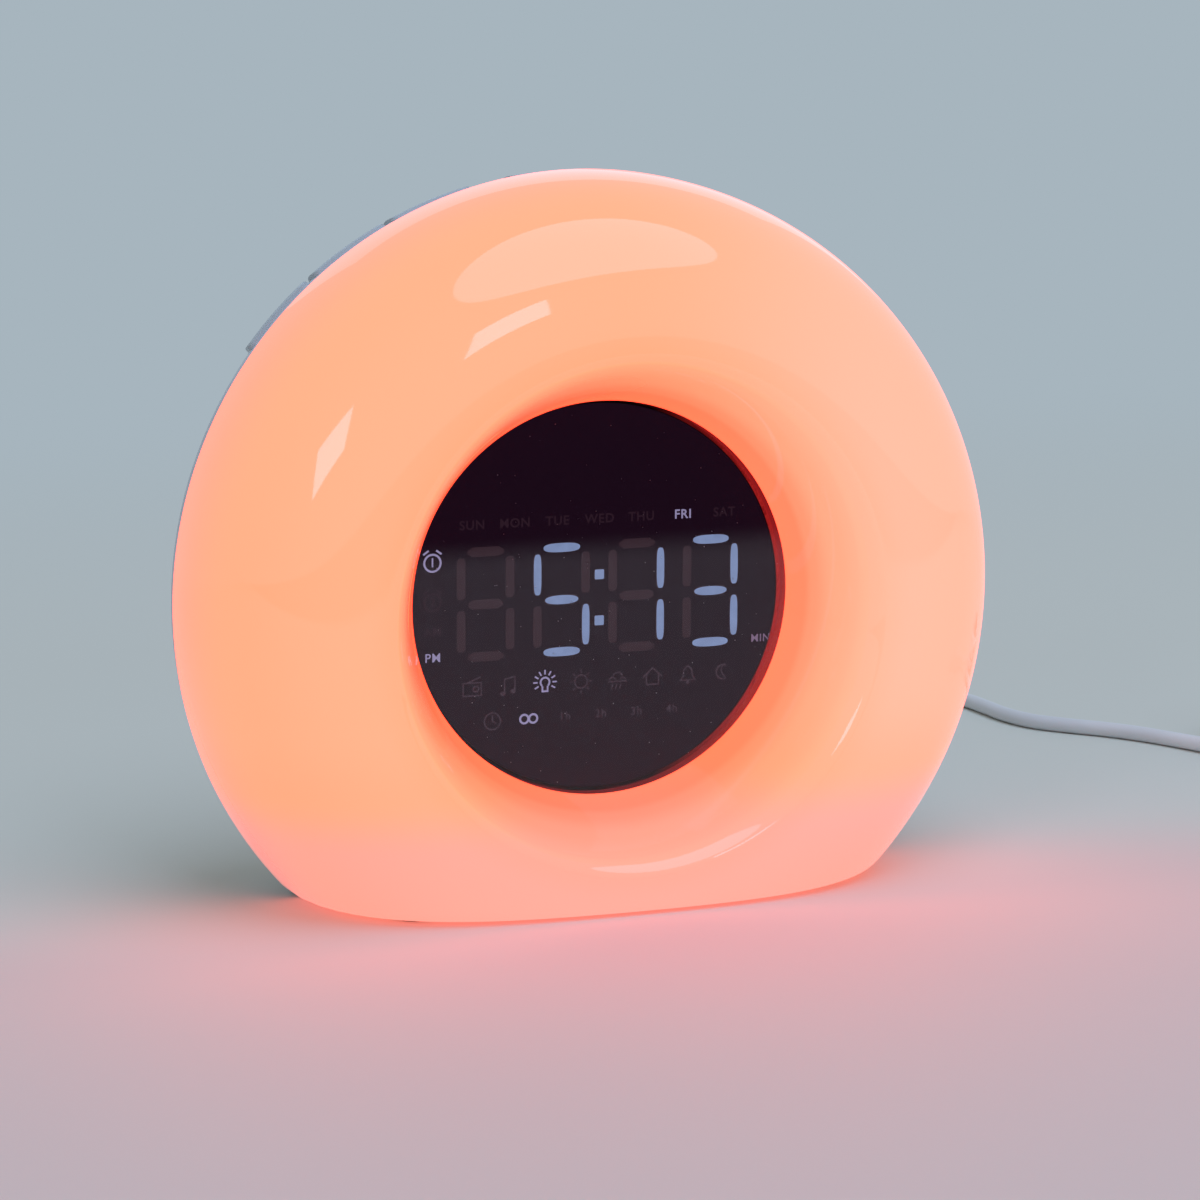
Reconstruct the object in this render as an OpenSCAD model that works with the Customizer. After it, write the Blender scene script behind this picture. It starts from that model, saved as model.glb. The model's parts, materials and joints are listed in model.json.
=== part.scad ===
// Sunrise alarm clock: a round opal lamp ring with a digital display in its middle.
// Origin: middle of the clock's footprint, on the surface it stands on. Front faces -Y.
// "Axial" sizes are measured along Y from the rim plane, where ring and rear shell meet.

/* [Ring body] */
// Outside diameter of the round body
ring_d = 170; // [166:1:180]
// Diameter of the crest line, the ring's frontmost circle
crest_d = 104; // [100:1:108]
// How far the crest stands ahead of the rim plane
crest_h = 37.3; // [35:0.1:40]
// Fullness of the ring's outer section, where 2 is an ellipse
fullness = 2.4; // [2.1:0.1:2.8]
// How far the inner slope opens outwards as it leaves the lens
flare = 4; // [3.8:0.1:4.4]
// How far forward that first stretch of the slope reaches
flare_rise = 7.6; // [7:0.1:8]
// Width of the rounding between the inner slope and the crest
crest_in = 4.5; // [4:0.1:5]
// Wall of the opal diffuser
diffuser_wall = 2.2; // [1.8:0.1:2.8]
// Height of the ring's axis above its flat base
base_drop = 58.9; // [58:0.1:61]

/* [Rear shell] */
// Depth of the rear shell behind the rim plane
shell_depth = 28.7; // [27.5:0.1:31]
// Diameter of the shell's flat back
back_d = 100; // [96:1:104]
// Fullness of the shell's shoulder
shoulder_fullness = 1.9; // [1.8:0.05:2.1]
// Wall of the rear shell
shell_wall = 2.4; // [2:0.1:2.8]
// How much smaller the shell's rim is than the ring's, on the radius
shell_step = 0.4; // [0.3:0.1:0.8]
// Open seam between ring and shell
seam = 0.3; // [0.2:0.05:0.5]
// Thickness of the shell's locating lip
lip_t = 1.6; // [1.4:0.1:2]
// How far the lip reaches into the ring
lip_reach = 2.5; // [2:0.1:3]

/* [Lens and display] */
// Diameter of the lens opening
lens_d = 80; // [79:0.5:81]
// Thickness of the smoked lens
lens_t = 3; // [2.6:0.1:3.2]
// How far the lens front stands ahead of the rim plane
lens_in = 13.4; // [13.2:0.1:14]
// Width of the ledge that the lens is taped to
ledge_w = 0.8; // [0.6:0.1:1]
// Wall of the hub that holds lens and display
hub_wall = 3.8; // [3.6:0.1:4.2]
// Thickness of the tape under the lens
tape_t = 0.2; // [0.1:0.05:0.25]
// Gap between the tape and the printed display film
display_gap = 0.1; // [0.05:0.05:0.3]
// Thickness of the printed display film
film_t = 0.3; // [0.2:0.05:0.4]
// Thickness of the display's light box
reflector_t = 5.8; // [5.5:0.1:6]
// Thickness of the circuit boards
board_t = 1.6; // [1.2:0.1:1.8]

/* [Digits] */
// Distance between neighbouring digits
digit_pitch = 16.1; // [15.8:0.1:16.6]
// Distance from a digit's top bar to its middle bar
bar_gap = 10.6; // [10.2:0.1:11]
// Distance between a digit's left and right strokes
stroke_gap = 10.3; // [10:0.1:10.6]
// Length of a horizontal bar
bar_l = 7.4; // [7:0.1:7.6]
// Width of a horizontal bar
bar_w = 2; // [1.8:0.1:2.2]
// Length of an upright stroke
stroke_l = 8.4; // [8:0.1:8.6]
// Width of an upright stroke
stroke_w = 1.9; // [1.6:0.1:2.1]
// Side of a colon dot
dot = 2.2; // [1.8:0.1:2.6]
// Height of each colon dot above or below the middle
dot_up = 4.7; // [4.2:0.1:5.2]

/* [Buttons] */
// Width of a side button along the rim
key_w = 17.4; // [16:0.1:17.8]
// Width of the wide button on top
snooze_w = 26; // [24:0.1:27]
// Length of the buttons front to back
key_l = 11; // [10:0.1:11.5]
// Front edge of the buttons behind the rim plane
key_y = 3.8; // [3.6:0.1:4.2]
// Angle between neighbouring side buttons
key_pitch = 13.1; // [12.9:0.1:13.6]
// Angle from the top to the first side button
key_first = 20.9; // [20.5:0.1:21.4]
// Button height over the shell at its front edge
key_rise = 0.3; // [0.2:0.05:0.5]
// Extra button height at its rear edge
key_rise_back = 2.4; // [2:0.1:2.8]
// Button travel
key_travel = 0.5; // [0.3:0.05:0.6]
// Gap round a button
key_gap = 0.3; // [0.25:0.05:0.4]

/* [Base and feet] */
// How far the feet stand out of the base
foot_h = 0.8; // [0.6:0.1:1.2]
// Diameter of a foot
foot_d = 10; // [9:0.5:11]
// Depth of the recess that holds a foot
foot_sink = 0.6; // [0.4:0.1:0.8]

/* [Lamp circuit] */
// Number of lamp places round the full circle
lamp_places = 24; // [20:1:26]
// Radius of the circle of lamps
lamp_r = 60; // [59:0.5:61]
// Thickness of the light chassis
chassis_t = 2; // [1.8:0.1:2.2]

/* [Speaker and rear fittings] */
// Diameter of the speaker
speaker_d = 40; // [38:1:41]
// Speaker centre inside the left edge of the flat back
speaker_in = 30; // [29.5:0.5:32]
// Speaker centre above the ring's axis
speaker_z = -22; // [-23:0.5:-21]
// Hole diameter in the speaker grille
grille_hole = 2; // [1.4:0.1:2.2]
// Side of the battery door
door_w = 26; // [25.5:0.1:27]
// Coin cell diameter
cell_d = 20; // [19.8:0.1:20]
// Coin cell thickness
cell_t = 3.2; // [2.5:0.1:3.2]
// Distance of the housing screws inside the rim
screw_in = 25; // [24:0.5:26]

/* [Power cord] */
// Diameter of the cord
cord_d = 3.6; // [3.4:0.1:3.6]
// Outside diameter of the plug's barrel
barrel_d = 5.5; // [5.4:0.1:5.5]
// Length of the plug's strain relief
relief_l = 21; // [20:1:24]
// Layers in the stored coil
coil_layers = 4; // [2:2:4]
// Turns in each layer
layer_turns = 2.25; // [2.25:1:2.25]

/* [Hidden] */
$fn = 64;

// fits
fit = 0.1;
touch = 0.05;
eps = 0.01;

// the clock's place over its origin
rim_y = (crest_h - shell_depth) / 2;
axis_z = foot_h + base_drop;

// middle of the display's marks, right of and above the ring's axis
display_at = [0.6, -0.3];

// radii
ring_r = ring_d / 2;
crest_r = crest_d / 2;
lens_r = lens_d / 2;
bore_r = lens_r - ledge_w;
hub_r = bore_r + hub_wall;
shell_r = ring_r - shell_step;
back_r = back_d / 2;
lip_r = ring_r - diffuser_wall - seam;
lip_in = lip_r - lip_t;
wall_in_y = shell_depth - shell_wall;

// axial stack of the display, front to back
ledge_y = -lens_in + lens_t + tape_t;
film_y = ledge_y + display_gap;
film_r = bore_r - fit;
reflector_y = film_y + film_t + touch;
reflector_r = bore_r - 0.7;
cell_end = reflector_y + reflector_t;
display_board_y = cell_end + fit;
display_board_end = display_board_y + board_t;
hub_end = display_board_end + 1.1;
flange_t = 1.6;
chassis_y = hub_end + flange_t + fit;
chassis_end = chassis_y + chassis_t;
chip_h = 0.6;

// chassis and what stands on it
screw_circle = ring_r - screw_in;
chassis_r = lip_in - 0.3;
chassis_drop = base_drop - diffuser_wall - seam - lip_t - 0.4;
chassis_open_r = 34;
lip_root = 3;
ring_board_t = 1;
ring_board_in = 50;
ring_board_out = 72;
ring_board_y = chassis_y - touch - ring_board_t;
lamp_h = 0.8;
lamp_size = [3.5, 3];
post_h = 6;
main_board_y = chassis_end + post_h;
main_board_end = main_board_y + board_t;
main_post_x = chassis_open_r + 1.5;
main_post_z = [12, ring_r - 41];
board_edge = [3, 4];
main_board_w = 2 * (main_post_x + board_edge[0]);
main_board_h = main_post_z[1] - main_post_z[0] + 2 * board_edge[1];
main_board_z = (main_post_z[0] + main_post_z[1]) / 2;
plug_size = [7, 5, 5];
plug_z = main_post_z[0] + 2;
speaker_plug_x = -14;
power_plug_x = main_post_x - 11.5;

// small screws: head and shank
small_head_r = 1.9;
small_head_h = 1.3;
small_r = 1;
small_l = 6;
hub_screw_r = (bore_r + hub_r) / 2;
hub_screw_angles = [45, 135, 225, 315];
retainer_r = chassis_open_r - 5.3;
retainer_screws = [retainer_r * [-cos(61), sin(61)], retainer_r * [cos(61), sin(61)],
    [0, 2.8 - chassis_open_r]];

// housing screws
big_head_r = 2.8;
big_head_h = 2;
big_r = 1.3;
big_l = 12;
tower_r = 5;
tower_y = 16.2;
seat_y = 18;
chassis_post_r = 4;
screw_angles = [35, 145, 195, 345];

// buttons
key_angles = [90, 90 + key_first, 90 + key_first + key_pitch, 90 + key_first + 2 * key_pitch,
    90 - key_first, 90 - key_first - key_pitch, 90 - key_first - 2 * key_pitch];
key_end = key_y + key_l;
key_flange = 0.8;
key_flange_t = 1.2;
key_top_r = inner_at(key_end + key_flange) - 0.3;
key_bottom_r = key_top_r - key_flange_t;
key_out_r = 84;
key_clear_r = 96;
key_edge = 0.4;
switch_h = 3.5;
switch_w = 6;
plunger_out = 1;
plunger_r = 1.7;
switch_top_r = key_bottom_r - touch - plunger_out;
switch_base_r = switch_top_r - switch_h;
flex_t = 0.4;
bracket_t = 2.4;
bracket_out_r = switch_base_r - touch - flex_t;
bracket_half = key_first + 2 * key_pitch + 6;
bracket_end = key_end;

// speaker
speaker_x = speaker_in - back_r;
speaker_r = speaker_d / 2;
gasket_t = 0.6;
flange_y = wall_in_y - gasket_t;
basket_t = 1.2;
ear_r = 2.4;
ear_at = speaker_r + 2.2;
ear_angles = [80, 200, 320];
magnet_r = 9;
magnet_h = 6;
basket_y = 16;
grille_rings = 4;
grille_step = 4;

// battery bay
door_x = 28;
door_z = -8;
door_t = 2;
bay_wall = 1.5;
bay_depth = 10;
bay_y = shell_depth - bay_depth;
cell_y = bay_y + bay_wall + 0.8;
door_screw_x = door_x + door_w / 2 - 3.2;
door_screw_z = door_z + door_w / 2 - 3.2;

// jack and plug
jack_x = 24;
jack_up = 20;
jack_z = jack_up - axis_z;
jack_w = 9;
jack_l = 14;
jack_end = wall_in_y - touch;
socket_r = barrel_d / 2 + 0.15;
socket_l = 10;
pin_r = 1;
lead_wire_r = 0.5;
back_y = rim_y + shell_depth;
plug_gap = 0.5;
plug_l = 13;
plug_r = 4.6;
barrel_l = 9.5;
relief_end = back_y + plug_gap + plug_l + relief_l;

// cord: hand-chosen points of the lead, from the strain relief to the coil
lead_points = [[24, 71.5, 20], [24.5, 80.5, 19], [26, 89, 16.5], [29, 97, 13], [33.5, 104.5, 9.5],
    [39.5, 111.5, 6.5], [47, 117, 4], [56, 121.5, 2.5], [65.5, 125, 1.8], [75, 128.5, 1.8],
    [84, 132, 1.8], [93, 136, 1.8], [102, 140.5, 1.8], [110.5, 145, 1.8], [119.5, 148.5, 1.8],
    [129, 149, 1.8], [138, 146, 1.8], [145.5, 140, 1.8], [150, 132, 1.8], [151, 122.5, 1.8],
    [151.5, 113, 1.8], [154, 103.5, 1.8], [159.5, 96, 1.8], [166, 89, 1.8], [171.5, 81.5, 1.8],
    [176, 73, 1.8], [179.5, 64.5, 2], [182.6, 56.5, 2.4]];
tail_points = [[191, 34.5, 13], [194.8, 26.5, 9.8], [199, 19, 6.8], [203.5, 11.5, 5], [207.5, 3.5, 4.2],
    [209.5, -5, 4]];
cord_r = cord_d / 2;
tie_t = 0.6;
coil_x = 209.5;
coil_y = 55.5;
coil_gap = 0.5;
coil_pitch = cord_d + coil_gap;
coil_mid_r = 20;
coil_out_r = coil_mid_r + coil_pitch * layer_turns / 2;
coil_in_r = coil_mid_r - coil_pitch * layer_turns / 2;
coil_turns = coil_layers * layer_turns;
coil_from = 203;
coil_low = cord_r + tie_t;
rings_per_turn = 24;
coil_heading = [-sin(coil_from), cos(coil_from), 0];
coil_ring = [cos(coil_from), sin(coil_from), 0] * coil_out_r;
coil_start = [coil_x, coil_y, coil_low] + coil_ring - coil_heading * cord_d;
coil_top = coil_low + (coil_layers - 1) * coil_pitch;
coil_end = [coil_x, coil_y, coil_top] + coil_ring + coil_heading * cord_d;
tail_x = 210;
tail_end = [tail_x, -18, 4];
relief_tip = [jack_x, relief_end, jack_up];
lead_route = concat([relief_tip], lead_points, [coil_start - coil_heading * cord_d, coil_start]);
tail_route = concat([coil_end, coil_end + coil_heading * cord_d], tail_points,
    [tail_end + [0, cord_d, 0], tail_end]);
coil_route = concat([coil_start],
    [for (i = [0 : coil_turns * rings_per_turn]) coil_point(i / rings_per_turn)], [coil_end]);

// usb plug
grip_w = 15;
grip_l = 22;
grip_h = 8;
usb_w = 12;
usb_h = 4.5;
usb_l = 12;

// a quarter of a superellipse, from its side at angle 0 to its crest at angle 90
function quarter(c, a, y0, b, n, k) = [for (i = [0 : k])
    [c + a * pow(cos(90 * i / k), 2 / n), y0 + b * pow(sin(90 * i / k), 2 / n)]];
// a cubic curve through its end points a and d, drawn towards b and c
function bend(a, b, c, d, k) = [for (i = [0 : k]) let (t = i / k, u = 1 - t)
    u * u * u * a + 3 * u * u * t * b + 3 * u * t * t * c + t * t * t * d];
function backwards(p) = [for (i = [len(p) - 1 : -1 : 0]) p[i]];

// radius of the rear shell's outer and inner face at an axial place
function shell_curve(a, b, y) = back_r
    + a * pow(1 - pow((y - seam) / b, shoulder_fullness), 1 / shoulder_fullness);
function outer_at(y) = shell_curve(shell_r - back_r, shell_depth - seam, y);
function inner_at(y) = shell_curve(shell_r - shell_wall - back_r, wall_in_y - seam, y);

ring_outer = quarter(crest_r, ring_r - crest_r, 0, -crest_h, fullness, 28);
ring_inner = backwards(bend([lens_r, -lens_in], [lens_r + flare, -lens_in - flare_rise],
    [crest_r - crest_in, -crest_h], [crest_r, -crest_h], 20));
hollow_inner = bend([hub_r, 1 - lens_in],
    [lens_r + flare + 0.8 * diffuser_wall, 0.75 * diffuser_wall - lens_in - flare_rise],
    [crest_r - crest_in + diffuser_wall, diffuser_wall - crest_h], [crest_r, diffuser_wall - crest_h], 16);
hollow_outer = backwards(quarter(crest_r, ring_r - diffuser_wall - crest_r, 0, diffuser_wall - crest_h,
    fullness, 24));
shell_outer = quarter(back_r, shell_r - back_r, seam, shell_depth - seam, shoulder_fullness, 24);
shell_inner = quarter(back_r, shell_r - shell_wall - back_r, seam, wall_in_y - seam, shoulder_fullness, 20);

// a point along the coil: it spirals in and out, and climbs in the half turn of each reversal
function coil_radius(t) = let (p = t % (2 * layer_turns))
    p < layer_turns ? coil_out_r - coil_pitch * p : coil_in_r + coil_pitch * (p - layer_turns);
function climb(t, at) = min(1, max(0, (t - at) * 2 + 0.5));
function coil_layer(t) = coil_layers > 2
    ? climb(t, layer_turns) + climb(t, 2 * layer_turns) + climb(t, 3 * layer_turns)
    : climb(t, layer_turns);
function coil_point(t) = [coil_x + coil_radius(t) * cos(coil_from + 360 * t),
    coil_y + coil_radius(t) * sin(coil_from + 360 * t), coil_low + coil_pitch * coil_layer(t)];

// length of a route, and the least gap of a winding to itself
function route_length(p) = len(p) < 2 ? 0 : [for (i = 0, s = 0; i < len(p); i = i + 1,
    s = s + (i < len(p) ? norm(p[i] - p[i - 1]) : 0)) s][len(p) - 1];
coil_gap_measured = min([for (i = [0 : len(coil_route) - 1])
    for (j = [i + rings_per_turn / 2 : len(coil_route) - 1]) norm(coil_route[i] - coil_route[j])]) - cord_d;

// a tube along a route: one ring of points at each place, square to the bisecting plane
function heading(p, i) = let (d = p[min(i + 1, len(p) - 1)] - p[max(i - 1, 0)]) d / norm(d);
function side(h) = let (s = cross(h, abs(h[2]) > 0.9 ? [0, 1, 0] : [0, 0, 1])) s / norm(s);
module tube(p, r, sides) {
    n = len(p);
    ring_points = [for (i = [0 : n - 1]) let (h = heading(p, i), s = side(h), u = cross(s, h))
        for (k = [0 : sides - 1]) let (a = 360 * (k + 0.5) / sides) p[i] + r * (cos(a) * s + sin(a) * u)];
    walls = [for (i = [0 : n - 2]) for (k = [0 : sides - 1]) let (a = i * sides + k,
        b = i * sides + (k + 1) % sides) each [[a, b, a + sides], [b, b + sides, a + sides]]];
    caps = [for (k = [1 : sides - 2]) each [[0, k + 1, k],
        [(n - 1) * sides, (n - 1) * sides + k, (n - 1) * sides + k + 1]]];
    polyhedron(ring_points, concat(walls, caps));
}

// frame of the ring's axis: x right, y down, z to the rear
module axial() {
    translate([0, rim_y, axis_z]) rotate([-90, 0, 0]) children();
}
module spin(profile) {
    axial() rotate_extrude($fn = 128) polygon(profile);
}
// a plate from a front-view outline (x right, y up), starting at axial place y0
module plate(y0, t) {
    axial() translate([0, 0, y0]) linear_extrude(t) mirror([0, 1]) children();
}
// a round bar along the axis at front-view place x, z
module bar(x, z, r, y0, y1) {
    translate([x, rim_y + y0, axis_z + z]) rotate([-90, 0, 0]) cylinder(r = r, h = y1 - y0);
}
module block(x, y, z, size) {
    translate([x - size[0] / 2, rim_y + y, axis_z + z - size[2] / 2]) cube(size);
}
// children sit at angle a: x outwards, z to the rear
module spoke(a) {
    axial() rotate([0, 0, -a]) children();
}
module above(z) {
    translate([-ring_d, -ring_d, z]) cube([2 * ring_d, 2 * ring_d, 2 * ring_d]);
}
module base_slab(t) {
    translate([-ring_d, -ring_d, foot_h]) cube([2 * ring_d, 2 * ring_d, t]);
}
// a disc with a flat bottom
module flat_disc(r, drop) {
    intersection() {
        circle(r);
        translate([-r, -drop]) square([2 * r, drop + r]);
    }
}
module ring2d(r0, r1) {
    difference() {
        circle(r1);
        circle(r0);
    }
}
// a fan between two angles, wide enough for any part of the clock
module fan(a0, a1) {
    polygon([[0, 0], for (i = [0 : 4]) ring_d * [cos(a0 + (a1 - a0) * i / 4), sin(a0 + (a1 - a0) * i / 4)]]);
}
module small_screw(x, z, seat, turn) {
    bar(x, z, small_head_r, turn > 0 ? seat : seat - small_head_h, turn > 0 ? seat + small_head_h : seat);
    bar(x, z, small_r, turn > 0 ? seat - small_l : seat, turn > 0 ? seat + eps : seat + small_l);
}

// display marks: digit bars and strokes, colon dots and the small windows
module stroke2d(l, w, tip, blunt, inset) {
    a = l / 2 - inset;
    b = w / 2 - inset;
    polygon([[-a, -blunt], [-a + tip, -b], [a - tip, -b], [a, -blunt], [a, blunt], [a - tip, b], [-a + tip, b],
        [-a, blunt]]);
}
module digit2d(inset) {
    for (k = [-1 : 1]) translate([0, k * bar_gap]) stroke2d(bar_l, bar_w, 1, 0.3, inset);
    for (sx = [-1, 1]) for (sz = [-1, 1]) translate([sx * stroke_gap / 2, sz * bar_gap / 2])
        rotate(90) stroke2d(stroke_l, stroke_w, 0.6, 0.5, inset);
}
module digits2d(inset) {
    translate(display_at) {
        for (i = [0 : 3]) translate([(i - 1.5) * digit_pitch, 0]) digit2d(inset);
        for (s = [-1, 1]) translate([0, s * dot_up]) square(dot - 2 * inset, center = true);
    }
}
day_pitch = 9;
icon_pitch = 7.73;
day_z = 15.8;
icon_z = -17.1;
timer_z = -23.9;
timer_x = -22.8;
side_x = 35.3;
side_z = [8.9, 1, -5.1, -10.3];
icon_spots = concat([for (i = [0 : 6]) [(i - 3) * day_pitch, day_z]],
    [for (i = [0 : 7]) [(i - 3.5) * icon_pitch, icon_z]],
    [for (i = [0 : 5]) [timer_x + i * icon_pitch, timer_z]],
    [for (z = side_z) [-side_x, z]], [[side_x, side_z[3]]]);
icon_size = [5.4, 3.4];
// how much nearer the middle than its mark the light of the right-hand mark sits
side_led_in = 1;
digit_spots = [for (i = [0 : 3]) for (k = [-1 : 1]) [(i - 1.5) * digit_pitch, k * bar_gap]];
stroke_spots = [for (i = [0 : 3]) for (sx = [-1, 1]) for (sz = [-1, 1])
    [(i - 1.5) * digit_pitch + sx * stroke_gap / 2, sz * bar_gap / 2]];
module icons2d(inset) {
    for (p = icon_spots) translate(display_at + p)
        square([icon_size[0] - 2 * inset, icon_size[1] - 2 * inset], center = true);
}

module foot_places() {
    for (s = [-1, 1]) {
        translate([s * 42, -17, 0]) children();
        translate([s * 30, 22, 0]) children();
    }
}

module front_diffuser() {
    color([1, 0.74, 0.62]) difference() {
        union() {
            intersection() {
                spin(concat(ring_outer, ring_inner, [[lens_r, ledge_y], [bore_r, ledge_y], [bore_r, hub_end],
                    [hub_r, hub_end]], hollow_inner, hollow_outer));
                above(foot_h);
            }
            intersection() {
                spin(concat(ring_outer, ring_inner, [[lens_r, 0]]));
                base_slab(diffuser_wall);
            }
        }
        foot_places() translate([0, 0, -eps]) cylinder(d = foot_d + fit, h = foot_h + foot_sink + eps);
        for (a = hub_screw_angles)
            bar(hub_screw_r * cos(a), hub_screw_r * sin(a), small_r + touch, hub_end - 4, hub_end + eps);
    }
}

module display_lens() {
    color([0.12, 0.1, 0.13]) plate(-lens_in, lens_t) circle(lens_r - touch, $fn = 128);
}

module lens_tape() {
    color([0.06, 0.06, 0.06]) plate(-lens_in + lens_t, tape_t) ring2d(bore_r + touch, lens_r - touch);
}

module display_film() {
    color([0.16, 0.14, 0.17]) plate(film_y, film_t) difference() {
        circle(film_r, $fn = 128);
        digits2d(0);
    }
}

module digit_segments() {
    color([0.75, 0.8, 0.9]) plate(film_y, cell_end - chip_h - 0.2 - film_y) digits2d(touch);
}

module icon_lights() {
    color([0.6, 0.62, 0.7]) plate(reflector_y + touch, cell_end - chip_h - 0.2 - reflector_y - touch)
        intersection() {
            icons2d(touch);
            circle(reflector_r - 0.6);
        }
}

module display_reflector() {
    color([0.93, 0.93, 0.92]) difference() {
        plate(reflector_y, reflector_t) difference() {
            circle(reflector_r);
            digits2d(0);
            intersection() {
                icons2d(0);
                circle(reflector_r - 0.55);
            }
        }
        for (p = retainer_screws) bar(p[0], p[1], small_r + touch, cell_end - 3, cell_end + eps);
    }
}

module display_leds() {
    spots = concat(digit_spots, stroke_spots, [[0, dot_up], [0, -dot_up]],
        [for (i = [0 : len(icon_spots) - 2]) icon_spots[i]], [[side_x - side_led_in, side_z[3]]]);
    color([0.98, 0.95, 0.75]) for (p = spots)
        block(display_at[0] + p[0], display_board_y - chip_h, display_at[1] + p[1], [1.6, chip_h, 0.8]);
}

module display_board() {
    color([0.1, 0.35, 0.2]) plate(display_board_y, board_t) difference() {
        circle(reflector_r);
        for (p = retainer_screws) translate(p) circle(small_r + fit);
    }
}

module display_retainer() {
    color([0.85, 0.85, 0.84]) difference() {
        union() {
            plate(hub_end, flange_t) ring2d(20, hub_r);
            plate(display_board_end + touch, hub_end - display_board_end) ring2d(20, reflector_r);
        }
        for (a = hub_screw_angles)
            bar(hub_screw_r * cos(a), hub_screw_r * sin(a), small_r + fit, hub_end - eps, chassis_y);
        for (p = retainer_screws) bar(p[0], p[1], small_r + fit, display_board_end, chassis_y);
    }
}

module light_chassis() {
    color([0.95, 0.95, 0.94]) difference() {
        union() {
            plate(chassis_y, chassis_t) difference() {
                flat_disc(chassis_r, chassis_drop);
                circle(chassis_open_r);
            }
            for (a = screw_angles)
                bar(screw_circle * cos(a), screw_circle * sin(a), chassis_post_r, chassis_y + 1, tower_y - 0.2);
            for (x = [-main_post_x, main_post_x]) for (z = main_post_z)
                bar(x, z, 2.6, chassis_y + 1, main_board_y);
        }
        for (a = screw_angles)
            bar(screw_circle * cos(a), screw_circle * sin(a), big_r + touch, seat_y - big_l - 1, tower_y);
        for (x = [-main_post_x, main_post_x]) for (z = main_post_z)
            bar(x, z, small_r + touch, main_board_end - small_l - 1, main_board_y + eps);
        for (a = hub_screw_angles)
            bar(hub_screw_r * cos(a), hub_screw_r * sin(a), small_r + fit, chassis_y - eps, chassis_end + eps);
    }
}

module ring_board() {
    color([0.92, 0.93, 0.9]) plate(ring_board_y, ring_board_t) difference() {
        flat_disc(ring_board_out, chassis_drop - 0.5);
        circle(ring_board_in);
    }
}

module ring_leds() {
    color([1, 0.85, 0.5]) for (i = [0 : lamp_places - 1]) {
        a = 90 + i * 360 / lamp_places;
        if (lamp_r * sin(a) > -chassis_drop + 2.5)
            spoke(a) translate([lamp_r - lamp_size[1] / 2, -lamp_size[0] / 2, ring_board_y - lamp_h])
                cube([lamp_size[1], lamp_size[0], lamp_h]);
    }
}

module grille_holes() {
    translate([speaker_x, rim_y, axis_z + speaker_z]) rotate([-90, 0, 0]) for (k = [0 : grille_rings])
        for (i = [0 : max(0, 6 * k - 1)]) rotate(k == 0 ? 0 : 360 * i / (6 * k))
            translate([k * grille_step, 0, shell_depth - shell_wall - 1])
                cylinder(d = grille_hole, h = shell_wall + 2, $fn = 24);
}

// a sector of the rim as wide as w at the button tops
module sector(w) {
    h = w / 2 / key_out_r * 180 / PI;
    inner = key_bottom_r - 5;
    polygon([inner * [cos(h), -sin(h)], key_clear_r * [cos(h), -sin(h)], key_clear_r * [cos(h), sin(h)],
        inner * [cos(h), sin(h)]]);
}

module key_well(a, w) {
    spoke(a) translate([0, 0, key_y - key_gap]) linear_extrude(key_l + 2 * key_gap) sector(w + 2 * key_gap);
}

// a button: its top follows the shell and its longer foot stays under the shell's wall
module key_cap(a, w) {
    top = [for (i = [0 : 6]) let (y = key_y + key_l * i / 6)
        [outer_at(y) + key_rise + (key_rise_back - key_rise) * i / 6 - (i == 0 || i == 6 ? key_edge : 0), y]];
    foot = [for (i = [0 : 4]) let (y = key_y - key_flange + (key_l + 2 * key_flange) * i / 4)
        [inner_at(y) - key_gap, y]];
    spoke(a) intersection() {
        union() {
            rotate_extrude($fn = 128) polygon(concat([[key_bottom_r, key_y]], top, [[key_bottom_r, key_end]]));
            rotate_extrude($fn = 128) polygon(concat([[key_bottom_r, key_y - key_flange]], foot,
                [[key_bottom_r, key_end + key_flange]]));
        }
        linear_extrude(ring_r, center = true) sector(w);
    }
}

module plunger(a) {
    spoke(a) translate([switch_top_r - 1.2, 0, key_y + key_l / 2]) rotate([0, 90, 0])
        cylinder(r = plunger_r, h = plunger_out + 1.2, $fn = 32);
}

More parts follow.
